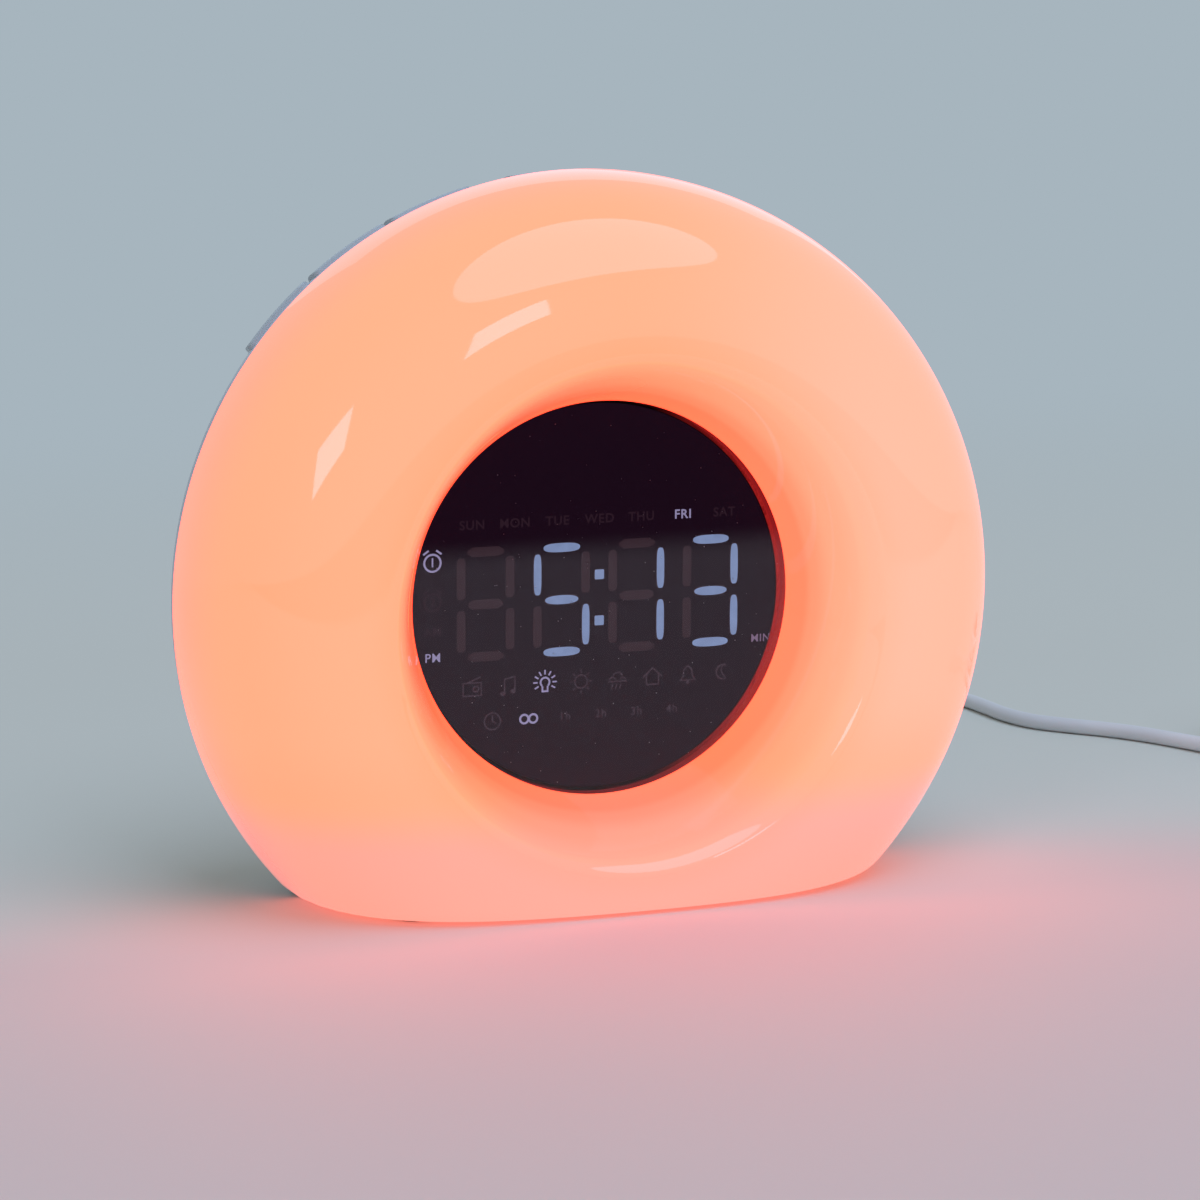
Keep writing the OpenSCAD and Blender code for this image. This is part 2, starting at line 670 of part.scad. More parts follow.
module rear_housing() {
    color([0.9, 0.91, 0.93]) difference() {
        union() {
            intersection() {
                spin(concat(shell_outer, [[0, shell_depth], [0, wall_in_y]], backwards(shell_inner)));
                above(foot_h);
            }
            intersection() {
                spin(concat(shell_outer, [[0, shell_depth], [0, seam]]));
                base_slab(shell_wall);
            }
            plate(-lip_reach, lip_reach + lip_root) difference() {
                flat_disc(lip_r, base_drop - diffuser_wall - seam);
                flat_disc(lip_in, base_drop - diffuser_wall - seam - lip_t);
            }
            plate(seam, lip_root - seam) difference() {
                flat_disc(lip_r + 0.8, base_drop - 1);
                flat_disc(lip_in, base_drop - diffuser_wall - seam - lip_t);
            }
            intersection() {
                spin(concat(shell_outer, [[0, shell_depth], [0, seam]]));
                union() {
                    for (a = screw_angles)
                        bar(screw_circle * cos(a), screw_circle * sin(a), tower_r, tower_y, shell_depth);
                    block(door_x, bay_y, door_z,
                        [door_w + 2 * bay_wall, shell_depth - bay_y, door_w + 2 * bay_wall]);
                    block(jack_x, jack_end - jack_l - 1.5, jack_z, [jack_w + 3, jack_l + 2, jack_w + 3]);
                }
            }
        }
        for (a = screw_angles) {
            bar(screw_circle * cos(a), screw_circle * sin(a), big_r + 0.3, tower_y - eps, seat_y + eps);
            bar(screw_circle * cos(a), screw_circle * sin(a), big_head_r + 0.4, seat_y, shell_depth + 1);
        }
        block(door_x, bay_y + bay_wall, door_z, [door_w - 3, shell_depth, door_w - 3]);
        block(door_x, shell_depth - door_t - touch, door_z, [door_w + 2 * fit, door_t + 1, door_w + 2 * fit]);
        bar(door_screw_x, door_screw_z, small_r + touch, bay_y + 2, shell_depth);
        block(jack_x, jack_end - jack_l - 3, jack_z, [jack_w + 2 * fit, jack_l + 3 + touch, jack_w + 2 * fit]);
        bar(jack_x, jack_z, socket_r + 0.4, jack_end - 1, shell_depth + 1);
        grille_holes();
        key_well(key_angles[0], snooze_w);
        for (i = [1 : 6]) key_well(key_angles[i], key_w);
        for (a = ear_angles) bar(speaker_x + ear_at * cos(a), speaker_z + ear_at * sin(a), small_r + touch,
            wall_in_y - 1, shell_depth - 0.6);
        foot_places() translate([0, 0, -eps]) cylinder(d = foot_d + fit, h = foot_h + foot_sink + eps);
    }
}

module rubber_feet() {
    color([0.35, 0.35, 0.36]) foot_places() cylinder(d = foot_d, h = foot_h + foot_sink);
}

module housing_screws() {
    color([0.75, 0.75, 0.77]) for (a = screw_angles) {
        x = screw_circle * cos(a);
        z = screw_circle * sin(a);
        difference() {
            bar(x, z, big_head_r, seat_y, seat_y + big_head_h);
            for (w = [[3.4, 0.8], [0.8, 3.4]]) block(x, seat_y + big_head_h - 0.9, z, [w[0], 1, w[1]]);
        }
        bar(x, z, big_r, seat_y - big_l, seat_y + eps);
    }
}

module chassis_screws() {
    color([0.7, 0.7, 0.72]) {
        for (a = hub_screw_angles) small_screw(hub_screw_r * cos(a), hub_screw_r * sin(a), chassis_end, 1);
        for (p = retainer_screws) small_screw(p[0], p[1], hub_end + flange_t, 1);
        for (x = [-main_post_x, main_post_x]) for (z = main_post_z) small_screw(x, z, main_board_end, 1);
    }
}

module switch_bracket() {
    color([0.9, 0.9, 0.88]) plate(chassis_end, bracket_end - chassis_end) intersection() {
        ring2d(bracket_out_r - bracket_t, bracket_out_r);
        fan(90 - bracket_half, 90 + bracket_half);
    }
}

module switch_flex() {
    color([0.8, 0.5, 0.2]) plate(key_y, key_l) intersection() {
        ring2d(bracket_out_r, bracket_out_r + flex_t);
        fan(90 - bracket_half + 1, 90 + bracket_half - 1);
    }
}

module tact_switches() {
    color([0.2, 0.2, 0.22]) for (a = key_angles) spoke(a) difference() {
        translate([switch_base_r, -switch_w / 2, key_y + key_l / 2 - switch_w / 2])
            cube([switch_h, switch_w, switch_w]);
        translate([switch_top_r - 1.2 - key_travel - 0.2, 0, key_y + key_l / 2]) rotate([0, 90, 0])
            cylinder(r = plunger_r + 0.1, h = 3, $fn = 32);
    }
}

module main_board() {
    color([0.1, 0.4, 0.22]) plate(main_board_y, board_t) difference() {
        translate([-main_board_w / 2, main_board_z - main_board_h / 2]) square([main_board_w, main_board_h]);
        for (x = [-main_post_x, main_post_x]) for (z = main_post_z) translate([x, z]) circle(small_r + fit);
    }
}

// a place on the main board, as shares of its width and height from its middle
function on_board(u, v) = [u * main_board_w, main_board_z + v * main_board_h];
chips = [[on_board(-0.08, 0.15), [10, 1.6, 10]], [on_board(0.155, -0.15), [5, 1.6, 6]],
    [on_board(-0.285, 0.2), [6, 1.6, 5]], [on_board(0.14, 0.22), [4, 1.2, 8]]];
capacitor_r = 3.1;
capacitor_h = 6.5;
capacitors = [on_board(0.285, 0.25), on_board(0.375, 0.05), on_board(0.26, 0), on_board(-0.31, -0.1)];

module board_chips() {
    color([0.13, 0.13, 0.14]) for (c = chips) block(c[0][0], main_board_end, c[0][1], c[1]);
}

module board_capacitors() {
    color([0.25, 0.27, 0.4]) for (p = capacitors)
        bar(p[0], p[1], capacitor_r, main_board_end, main_board_end + capacitor_h);
}

module board_connectors() {
    color([0.95, 0.94, 0.88]) {
        for (x = [speaker_plug_x, power_plug_x]) block(x, main_board_end, plug_z, plug_size);
        block(0, main_board_end, main_post_z[1] + 1, [12, 4, 4.5]);
        block(0, main_board_y - 2, main_post_z[0] - 0.5, [18, 2, 4]);
    }
}

// flat ribbon from the display board to the main board, seen from the side as [axial, up]
ribbon_t = 0.3;
ribbon_w = 15;
ribbon_line = [[display_board_end, 4], [display_board_end + 6, 4], [main_board_y - 2.4, 5],
    [main_board_y - 1, 7], [main_board_y - 1, 9.5]];
module display_ribbon() {
    lift = [[0, 1], [0, 1], [-0.6, 0.8], [-1, 0.3], [-1, 0]];
    color([0.9, 0.9, 0.95]) translate([-ribbon_w / 2, rim_y, axis_z]) rotate([90, 0, 90])
        linear_extrude(ribbon_w)
            polygon(concat(ribbon_line, backwards([for (i = [0 : 4]) ribbon_line[i] + ribbon_t * lift[i]])));
}

module at_speaker() {
    translate([speaker_x, rim_y, axis_z + speaker_z]) rotate([-90, 0, 0]) children();
}

module speaker_basket() {
    cup = magnet_r + 3;
    color([0.3, 0.3, 0.32]) difference() {
        union() {
            at_speaker() rotate_extrude() polygon([[magnet_r - 3, basket_y], [cup, basket_y],
                [speaker_r - 1.6, flange_y - 2.4], [speaker_r - 1.6, flange_y - basket_t],
                [speaker_r, flange_y - basket_t], [speaker_r, flange_y], [speaker_r - 2.6, flange_y],
                [speaker_r - 2.6, flange_y - 2], [cup - 0.6, basket_y + 1.2], [magnet_r - 3, basket_y + 1.2]]);
            for (a = ear_angles) bar(speaker_x + ear_at * cos(a), speaker_z + ear_at * sin(a), ear_r,
                flange_y - basket_t, flange_y);
            for (a = ear_angles)
                bar(speaker_x + (ear_at - 1.6) * cos(a), speaker_z + (ear_at - 1.6) * sin(a), 1.8,
                    flange_y - basket_t, flange_y);
        }
        for (a = ear_angles) bar(speaker_x + ear_at * cos(a), speaker_z + ear_at * sin(a), small_r + fit,
            flange_y - 3, flange_y + 1);
    }
}

module speaker_cone() {
    rim = speaker_r - 2.7;
    color([0.12, 0.12, 0.13]) at_speaker() rotate_extrude() polygon([[0, basket_y + 3.4], [5, basket_y + 3],
        [rim - 2.4, flange_y - 1.8], [rim - 1.2, flange_y - 0.9], [rim, flange_y - 1.4], [rim, flange_y - 0.9],
        [rim - 1.2, flange_y - 0.4], [rim - 2.7, flange_y - 1.3], [5, basket_y + 3.6], [0, basket_y + 5]]);
}

module speaker_magnet() {
    color([0.55, 0.55, 0.57]) at_speaker() translate([0, 0, basket_y - magnet_h])
        cylinder(r = magnet_r, h = magnet_h);
}

module speaker_gasket() {
    color([0.15, 0.15, 0.15]) at_speaker() translate([0, 0, flange_y]) linear_extrude(gasket_t)
        ring2d(speaker_r - 2.4, speaker_r);
}

module speaker_screws() {
    color([0.7, 0.7, 0.72]) for (a = ear_angles) {
        x = speaker_x + ear_at * cos(a);
        z = speaker_z + ear_at * sin(a);
        bar(x, z, small_head_r, flange_y - basket_t - small_head_h, flange_y - basket_t);
        bar(x, z, small_r, flange_y - basket_t - eps, shell_depth - 0.9);
    }
}

// both pairs of leads end at the lower face of their plug
lead_end_y = rim_y + main_board_end + plug_size[1] / 2;
lead_end_z = axis_z + plug_z - plug_size[2] / 2;
module speaker_leads() {
    for (s = [-1, 1]) color(s > 0 ? [0.75, 0.1, 0.1] : [0.1, 0.1, 0.1]) tube([
        [speaker_x + 6 + s, rim_y + basket_y - 0.6, axis_z + speaker_z + magnet_r + 2],
        [speaker_x + 6 + s, rim_y + main_board_end + 3, axis_z + speaker_z + magnet_r + 7],
        [speaker_plug_x + s, lead_end_y, axis_z + 8],
        [speaker_plug_x + s, lead_end_y, lead_end_z]], lead_wire_r, 6);
}

module dc_jack() {
    color([0.12, 0.12, 0.13]) difference() {
        block(jack_x, jack_end - jack_l, jack_z, [jack_w, jack_l, jack_w]);
        bar(jack_x, jack_z, socket_r, jack_end - socket_l, jack_end + 1);
    }
    color([0.8, 0.8, 0.8]) bar(jack_x, jack_z, pin_r, jack_end - socket_l - eps, jack_end - 1.5);
}

module power_leads() {
    low = axis_z + jack_z;
    front = rim_y + jack_end - jack_l;
    for (s = [-1, 1]) color(s > 0 ? [0.75, 0.1, 0.1] : [0.1, 0.1, 0.1]) tube([[jack_x + s * 1.5, front, low],
        [jack_x + s * 1.5, front - 1.5, low], [jack_x + s * 1.5, front - 5, low + 3],
        [power_plug_x + s, lead_end_y, axis_z + 4], [power_plug_x + s, lead_end_y, lead_end_z]], lead_wire_r, 6);
}

module battery_door() {
    color([0.88, 0.89, 0.91]) difference() {
        union() {
            block(door_x, shell_depth - door_t, door_z, [door_w, door_t, door_w]);
            for (s = [-1, 1])
                block(door_x + s * 6, shell_depth - door_t - 1.5, door_z - door_w / 2 + 2.6, [4, 2, 1.4]);
        }
        bar(door_screw_x, door_screw_z, small_r + 0.3, shell_depth - door_t - 1, shell_depth + 1);
        bar(door_screw_x, door_screw_z, small_head_r + 0.2, shell_depth - small_head_h, shell_depth + 1);
        for (k = [0 : 2]) block(door_x, shell_depth - 0.4, door_z - door_w / 2 + 4 + 1.6 * k, [8, 1, 0.8]);
    }
}

module door_screw() {
    color([0.75, 0.75, 0.77]) difference() {
        union() {
            bar(door_screw_x, door_screw_z, small_head_r, shell_depth - small_head_h, shell_depth - 0.1);
            bar(door_screw_x, door_screw_z, small_r, shell_depth - 5, shell_depth - small_head_h + eps);
        }
        for (w = [[2.4, 0.6], [0.6, 2.4]])
            block(door_screw_x, shell_depth - 0.7, door_screw_z, [w[0], 1, w[1]]);
    }
}

module coin_cell() {
    color([0.8, 0.8, 0.82]) {
        bar(door_x, door_z, cell_d / 2, cell_y + 0.7, cell_y + cell_t);
        bar(door_x, door_z, cell_d / 2 - 1.6, cell_y, cell_y + 0.71);
    }
}

module cell_contacts() {
    color([0.85, 0.78, 0.55]) {
        block(door_x, cell_y - 0.6, door_z, [8, 0.4, 4]);
        block(door_x + 5.9, cell_y - 0.6, door_z, [4, 0.4, 2]);
        block(door_x - 10.85, cell_y - 0.6, door_z, [0.5, cell_t + 0.8, 6]);
    }
}

// plug with its strain relief, on the axis of the jack
module at_plug() {
    translate([jack_x, back_y, jack_up]) rotate([-90, 0, 0]) children();
}

module dc_plug() {
    groove_w = 1.2;
    color([0.93, 0.93, 0.93]) at_plug() difference() {
        rotate_extrude() polygon([[0, plug_gap], [plug_r - 0.5, plug_gap], [plug_r, plug_gap + 0.5],
            [plug_r, plug_gap + plug_l - 1], [plug_r - 0.8, plug_gap + plug_l], [3.2, plug_gap + plug_l + 0.6],
            [cord_r + 0.5, plug_gap + plug_l + relief_l], [0, plug_gap + plug_l + relief_l]]);
        for (i = [0 : 4]) translate([0, 0, plug_gap + plug_l + 3.4 + i * 3]) for (s = [0, 90])
            rotate([0, 0, s + 90 * (i % 2)]) translate([cord_r - 0.1, -4, 0]) cube([4, 8, groove_w]);
    }
}

module dc_barrel() {
    color([0.82, 0.82, 0.84]) at_plug() translate([0, 0, plug_gap - barrel_l]) difference() {
        cylinder(d = barrel_d, h = barrel_l);
        translate([0, 0, -eps]) cylinder(r = pin_r + 0.15, h = barrel_l - 0.5);
    }
}

module power_cord() {
    color([0.94, 0.94, 0.94]) tube(lead_route, cord_r, 8);
}

module cord_coil() {
    color([0.94, 0.94, 0.94]) tube(coil_route, cord_r, 6);
}

module cord_tail() {
    color([0.94, 0.94, 0.94]) tube(tail_route, cord_r, 8);
}

// strap round the coil's far side
module cord_tie() {
    width = 10;
    inner = coil_in_r - cord_r - fit;
    outer = coil_out_r + cord_r + fit;
    top = coil_top + cord_r + fit;
    color([0.3, 0.3, 0.32]) translate([coil_x, coil_y, 0]) rotate([0, 0, 20]) difference() {
        translate([inner - tie_t, -width / 2, 0]) cube([outer - inner + 2 * tie_t, width, top + tie_t]);
        translate([inner, -width / 2 - 1, tie_t - fit]) cube([outer - inner, width + 2, top - tie_t + fit]);
    }
}

module usb_grip() {
    color([0.93, 0.93, 0.93]) translate([tail_x, tail_end[1], tail_end[2]]) rotate([90, 0, 0]) difference() {
        translate([-grip_w / 2, -grip_h / 2, 0]) cube([grip_w, grip_h, grip_l]);
        for (s = [-1, 1]) for (k = [0 : 3]) translate([s * grip_w / 2 - 0.4, -grip_h, 4 + 2.4 * k])
            cube([0.8, 2 * grip_h, 1.2]);
    }
}

module usb_shell() {
    color([0.82, 0.82, 0.84]) translate([tail_x, tail_end[1] - grip_l, tail_end[2]]) rotate([90, 0, 0])
        difference() {
            translate([-usb_w / 2, -usb_h / 2, 0]) cube([usb_w, usb_h, usb_l]);
            translate([-usb_w / 2 + 0.4, -usb_h / 2 + 0.4, 1]) cube([usb_w - 0.8, 1.9, usb_l]);
            for (s = [-1, 1]) translate([s * 3 - 1, usb_h / 2 - 1, 5]) cube([2, 2, 2.4]);
        }
}

echo(cord_length_mm = route_length(lead_route) + route_length(coil_route) + route_length(tail_route));
echo(coil_least_gap_mm = coil_gap_measured);

front_diffuser();
display_lens();
lens_tape();
display_film();
digit_segments();
icon_lights();
display_reflector();
display_leds();
display_board();
display_retainer();
light_chassis();
ring_board();
ring_leds();
rear_housing();
rubber_feet();
housing_screws();
chassis_screws();
color([0.9, 0.91, 0.93]) key_cap(key_angles[0], snooze_w);  // snooze_button
color([0.9, 0.91, 0.93]) key_cap(key_angles[1], key_w);  // button_left_top
color([0.9, 0.91, 0.93]) key_cap(key_angles[2], key_w);  // button_left_mid
color([0.9, 0.91, 0.93]) key_cap(key_angles[3], key_w);  // button_left_low
color([0.9, 0.91, 0.93]) key_cap(key_angles[4], key_w);  // button_right_top
color([0.9, 0.91, 0.93]) key_cap(key_angles[5], key_w);  // button_right_mid
color([0.9, 0.91, 0.93]) key_cap(key_angles[6], key_w);  // button_right_low
color([0.15, 0.15, 0.15]) plunger(key_angles[0]);  // plunger_snooze
color([0.15, 0.15, 0.15]) plunger(key_angles[1]);  // plunger_left_top
color([0.15, 0.15, 0.15]) plunger(key_angles[2]);  // plunger_left_mid
color([0.15, 0.15, 0.15]) plunger(key_angles[3]);  // plunger_left_low
color([0.15, 0.15, 0.15]) plunger(key_angles[4]);  // plunger_right_top
color([0.15, 0.15, 0.15]) plunger(key_angles[5]);  // plunger_right_mid
color([0.15, 0.15, 0.15]) plunger(key_angles[6]);  // plunger_right_low
switch_bracket();
switch_flex();
tact_switches();
main_board();
board_chips();
board_capacitors();
board_connectors();
display_ribbon();
speaker_basket();
speaker_cone();
speaker_magnet();
speaker_gasket();
speaker_screws();
speaker_leads();
dc_jack();
power_leads();
battery_door();
door_screw();
coin_cell();
cell_contacts();
dc_plug();
dc_barrel();
power_cord();
cord_coil();
cord_tail();
cord_tie();
usb_grip();
usb_shell();
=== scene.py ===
import json
import math

import bmesh
import bpy
from mathutils import Matrix, Vector

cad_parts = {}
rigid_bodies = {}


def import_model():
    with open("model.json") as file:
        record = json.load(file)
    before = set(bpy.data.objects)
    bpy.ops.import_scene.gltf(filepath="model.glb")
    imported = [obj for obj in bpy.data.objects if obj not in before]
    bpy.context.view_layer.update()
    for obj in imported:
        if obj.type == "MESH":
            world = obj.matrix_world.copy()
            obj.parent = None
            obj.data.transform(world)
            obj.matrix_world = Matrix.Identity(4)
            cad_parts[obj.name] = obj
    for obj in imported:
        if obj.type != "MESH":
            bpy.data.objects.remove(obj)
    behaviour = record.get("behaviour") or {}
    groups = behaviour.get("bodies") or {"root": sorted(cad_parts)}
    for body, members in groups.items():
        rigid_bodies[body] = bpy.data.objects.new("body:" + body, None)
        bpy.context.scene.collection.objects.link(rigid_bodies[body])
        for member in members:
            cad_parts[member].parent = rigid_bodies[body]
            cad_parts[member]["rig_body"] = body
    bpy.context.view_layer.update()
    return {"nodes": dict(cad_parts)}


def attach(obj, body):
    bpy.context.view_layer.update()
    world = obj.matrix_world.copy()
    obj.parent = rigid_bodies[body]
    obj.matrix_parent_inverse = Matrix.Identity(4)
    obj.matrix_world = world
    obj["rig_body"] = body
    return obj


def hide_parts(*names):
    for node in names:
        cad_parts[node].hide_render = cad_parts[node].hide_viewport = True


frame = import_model()
scene = bpy.context.scene
print("frame loaded with", len(frame["nodes"]), "parts")

# the round body over its origin, in metres
clock = {"axisZ": 0.0597, "rimY": 0.0043, "baseDrop": 0.0589, "ringRadius": 0.085, "crestRadius": 0.052,
         "crestDepth": 0.0373, "fullness": 2.4, "lensRadius": 0.04, "lensFront": 0.0134, "lensFace": 0.0131}


def placed(name, data):
    obj = bpy.data.objects.new(name, data)
    scene.collection.objects.link(obj)
    return obj


# camera, at the photograph's place
cameraSet = {"place": (-0.27688, -0.74104, 0.19788), "forward": (0.34786852, 0.92121541, -0.17421152),
             "up": (0.05791266, 0.16434836, 0.98470084), "focal": 118.94}


def makeCamera(s):
    data = bpy.data.cameras.new("photoCamera")
    data.lens = s["focal"]
    data.sensor_width = 36
    data.clip_start, data.clip_end = 0.05, 60
    back = -Vector(s["forward"]).normalized()
    right = Vector(s["up"]).cross(back).normalized()
    up = back.cross(right)
    obj = placed("photoCamera", data)
    turn = Matrix((right, up, back)).transposed().to_4x4()
    obj.matrix_world = Matrix.Translation(s["place"]) @ turn
    scene.camera = obj


makeCamera(cameraSet)


# small helpers for meshes
def meshObject(name, mesh, body="clock"):
    obj = placed(name, mesh)
    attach(obj, body)
    return obj


def evaluatedMesh(obj, name):
    # keeps what an object's modifiers or letters make as a plain mesh, and drops the object
    bpy.context.view_layer.update()
    mesh = bpy.data.meshes.new_from_object(obj.evaluated_get(bpy.context.evaluated_depsgraph_get()))
    mesh.name = name
    bpy.data.objects.remove(obj)
    return mesh


def smoothByAngle(mesh, degrees=32):
    mesh.shade_smooth()
    mesh.set_sharp_from_angle(angle=math.radians(degrees))


def grown(name, base, build, values):
    # runs a geometry node tree on a mesh or a curve, and keeps what it makes as a plain mesh
    tree = bpy.data.node_groups.new(name, "GeometryNodeTree")
    tree.interface.new_socket("Geometry", in_out="INPUT", socket_type="NodeSocketGeometry")
    keys = {}
    for key, value in values.items():
        kind = "NodeSocketInt" if isinstance(value, int) else "NodeSocketFloat"
        keys[key] = tree.interface.new_socket(key, in_out="INPUT", socket_type=kind).identifier
    tree.interface.new_socket("Geometry", in_out="OUTPUT", socket_type="NodeSocketGeometry")
    build(tree, tree.nodes.new("NodeGroupInput").outputs, tree.nodes.new("NodeGroupOutput").inputs["Geometry"])
    obj = placed(name, base)
    modifier = obj.modifiers.new(name, "NODES")
    modifier.node_group = tree
    for key, value in values.items():
        modifier[keys[key]] = value
    return evaluatedMesh(obj, name)


def step(tree, kind, result, links, **values):
    # one geometry node with its inputs linked or set by name, giving the named output
    node = add(tree, kind, **values)
    for key, value in links.items():
        if isinstance(value, bpy.types.NodeSocket):
            tree.links.new(value, node.inputs[key])
        else:
            node.inputs[key].default_value = value
    return node.outputs[result]


# materials
def nodeTree(name):
    material = bpy.data.materials.new(name)
    material.use_nodes = True
    tree = material.node_tree
    return material, tree, tree.nodes["Principled BSDF"]


def add(tree, kind, **values):
    node = tree.nodes.new(kind)
    for key, value in values.items():
        setattr(node, key, value)
    return node


def put(node, **values):
    for key, value in values.items():
        node.inputs[key.replace("_", " ")].default_value = value
    return node


def objectPoint(tree):
    return add(tree, "ShaderNodeTexCoord").outputs["Object"]


def objectAxes(tree):
    split = add(tree, "ShaderNodeSeparateXYZ")
    tree.links.new(objectPoint(tree), split.inputs[0])
    return [split.outputs[k] for k in "XYZ"]


def spanNode(tree, value, start, end, kind="LINEAR"):
    # goes from 0 at the start to 1 at the end
    node = add(tree, "ShaderNodeMapRange", interpolation_type=kind)
    node.inputs["From Min"].default_value, node.inputs["From Max"].default_value = start, end
    tree.links.new(value, node.inputs["Value"])
    return node.outputs[0]


def mixNode(tree, share, first, second):
    node = add(tree, "ShaderNodeMixShader")
    for socket, value in zip(node.inputs, (share, first, second)):
        tree.links.new(value, socket)
    return node.outputs[0]


def mathNode(tree, operation, a, b=0.0, c=0.0):
    node = add(tree, "ShaderNodeMath", operation=operation)
    for i, value in enumerate((a, b, c)):
        if hasattr(value, "default_value"):
            tree.links.new(value, node.inputs[i])
        else:
            node.inputs[i].default_value = value
    return node.outputs[0]


def noiseNode(tree, scale, detail, vector=None):
    node = put(add(tree, "ShaderNodeTexNoise"), Scale=scale, Detail=detail)
    tree.links.new(vector or objectPoint(tree), node.inputs["Vector"])
    return node.outputs["Fac"]


def rampNode(tree, factor, stops):
    node = add(tree, "ShaderNodeValToRGB")
    node.color_ramp.interpolation = "EASE"
    ramp = node.color_ramp.elements
    while len(ramp) < len(stops):
        ramp.new(0.5)
    for element, (place, colour) in zip(ramp, stops):
        element.position = place
        element.color = (*colour, 1)
    tree.links.new(factor, node.inputs["Fac"])
    return node.outputs["Color"]


def bumpFrom(tree, shader, height, strength, distance):
    bump = add(tree, "ShaderNodeBump")
    put(bump, Strength=strength, Distance=distance)
    tree.links.new(height, bump.inputs["Height"])
    tree.links.new(bump.outputs["Normal"], shader.inputs["Normal"])


def plain(name, colour, rough, metal=0.0, grain=900.0, depth=0.00002, spread=0.06, coat=0.0):
    # moulded, rubber or metal finish: fine grain in its bump, slow change in its colour
    material, tree, shader = nodeTree(name)
    put(shader, Metallic=metal, Roughness=rough, Coat_Weight=coat, Coat_Roughness=0.08)
    slow = noiseNode(tree, 35.0, 4.0)
    dark = tuple(c * (1 - spread) for c in colour)
    light = tuple(min(1.0, c * (1 + spread)) for c in colour)
    tint = rampNode(tree, slow, [(0.35, dark), (0.65, light)])
    tree.links.new(tint, shader.inputs["Base Color"])
    fine = noiseNode(tree, grain, 2.0)
    worn = mathNode(tree, "MULTIPLY_ADD", fine, 0.12, rough - 0.06)
    tree.links.new(worn, shader.inputs["Roughness"])
    bumpFrom(tree, shader, fine, 0.25, depth)
    return material


# the glow by its turn round the crest, from the lens opening to the rim, and its tints by place: painted light paler
# to the right, and a painted floor reflection near the base
glowSet = {"stops": [(0.024, (0, 0, 0)), (0.03, (0.3, 0.012, 0.009)), (0.072, (0.3, 0.012, 0.009)),
                     (0.08, (1.0, 0.06, 0.022)), (0.165, (0.98, 0.06, 0.023)), (0.2, (0.96, 0.075, 0.032)),
                     (0.27, (0.94, 0.098, 0.046)), (0.33, (0.92, 0.108, 0.055)), (0.42, (0.9, 0.114, 0.062)),
                     (0.7, (0.88, 0.108, 0.056)), (0.93, (0.84, 0.096, 0.056)), (1.0, (0.8, 0.088, 0.053))],
           "turnScale": 1 / 2.5, "turnMiddle": 0.36, "behindRim": 0.001, "liftScale": 20.0, "acrossScale": 8.0,
           "paintedLightRightwards": [(0.45, (1.0, 1.0, 1.0)), (0.95, (1.0, 1.16, 1.5))], "heightScale": 10.0,
           "paintedFloorReflection": [(0.15, (0.4, 0.9, 1.35)), (0.27, (0.8, 0.96, 0.95)), (0.4, (1.0, 1.0, 1.0))], "strength": 3.4}


def opalGlow(s):
    # lit opal plastic: paler to the right as painted light, pinker near the base as a painted floor reflection, and
    # dark on the wall behind the lens
    material, tree, shader = nodeTree("opalGlow")
    across, depth, height = objectAxes(tree)
    up = mathNode(tree, "SUBTRACT", height, clock["axisZ"])
    squares = mathNode(tree, "ADD", mathNode(tree, "MULTIPLY", across, across), mathNode(tree, "MULTIPLY", up, up))
    out = mathNode(tree, "SUBTRACT", mathNode(tree, "SQRT", squares), clock["crestRadius"])
    ahead = mathNode(tree, "SUBTRACT", clock["rimY"] + s["behindRim"], depth)
    turn = mathNode(tree, "ARCTAN2", out, ahead)
    glow = rampNode(tree, mathNode(tree, "MULTIPLY_ADD", turn, s["turnScale"], s["turnMiddle"]), s["stops"])
    # painted light: the glow turns paler towards the right side, fading out near the base
    lift = mathNode(tree, "MINIMUM", mathNode(tree, "MULTIPLY", height, s["liftScale"]), 1.0)
    aside = mathNode(tree, "MULTIPLY", across, lift)
    paintedLightRightwards = rampNode(tree, mathNode(tree, "MULTIPLY_ADD", aside, s["acrossScale"], 0.5), s["paintedLightRightwards"])
    # painted floor reflection: the glow turns less red and bluer near the base
    paintedFloorReflection = rampNode(tree, mathNode(tree, "MULTIPLY", height, s["heightScale"]), s["paintedFloorReflection"])
    for tint in (paintedLightRightwards, paintedFloorReflection):
        scaled = add(tree, "ShaderNodeVectorMath", operation="MULTIPLY")
        tree.links.new(glow, scaled.inputs[0])
        tree.links.new(tint, scaled.inputs[1])
        glow = scaled.outputs[0]
    tree.links.new(glow, shader.inputs["Emission Color"])
    put(shader, Emission_Strength=s["strength"], IOR=1.5, Specular_IOR_Level=0.2, Coat_Weight=0.6,
        Coat_Roughness=0.03)
    smear = rampNode(tree, noiseNode(tree, 25.0, 3.0), [(0.35, (0.03, 0.03, 0.03)), (0.7, (0.07, 0.07, 0.07))])
    tree.links.new(smear, shader.inputs["Roughness"])
    body = rampNode(tree, noiseNode(tree, 12.0, 2.0), [(0.3, (0.35, 0.13, 0.075)), (0.7, (0.38, 0.14, 0.08))])
    tree.links.new(body, shader.inputs["Base Color"])
    bumpFrom(tree, shader, noiseNode(tree, 60.0, 1.0), 0.03, 0.0003)
    return material


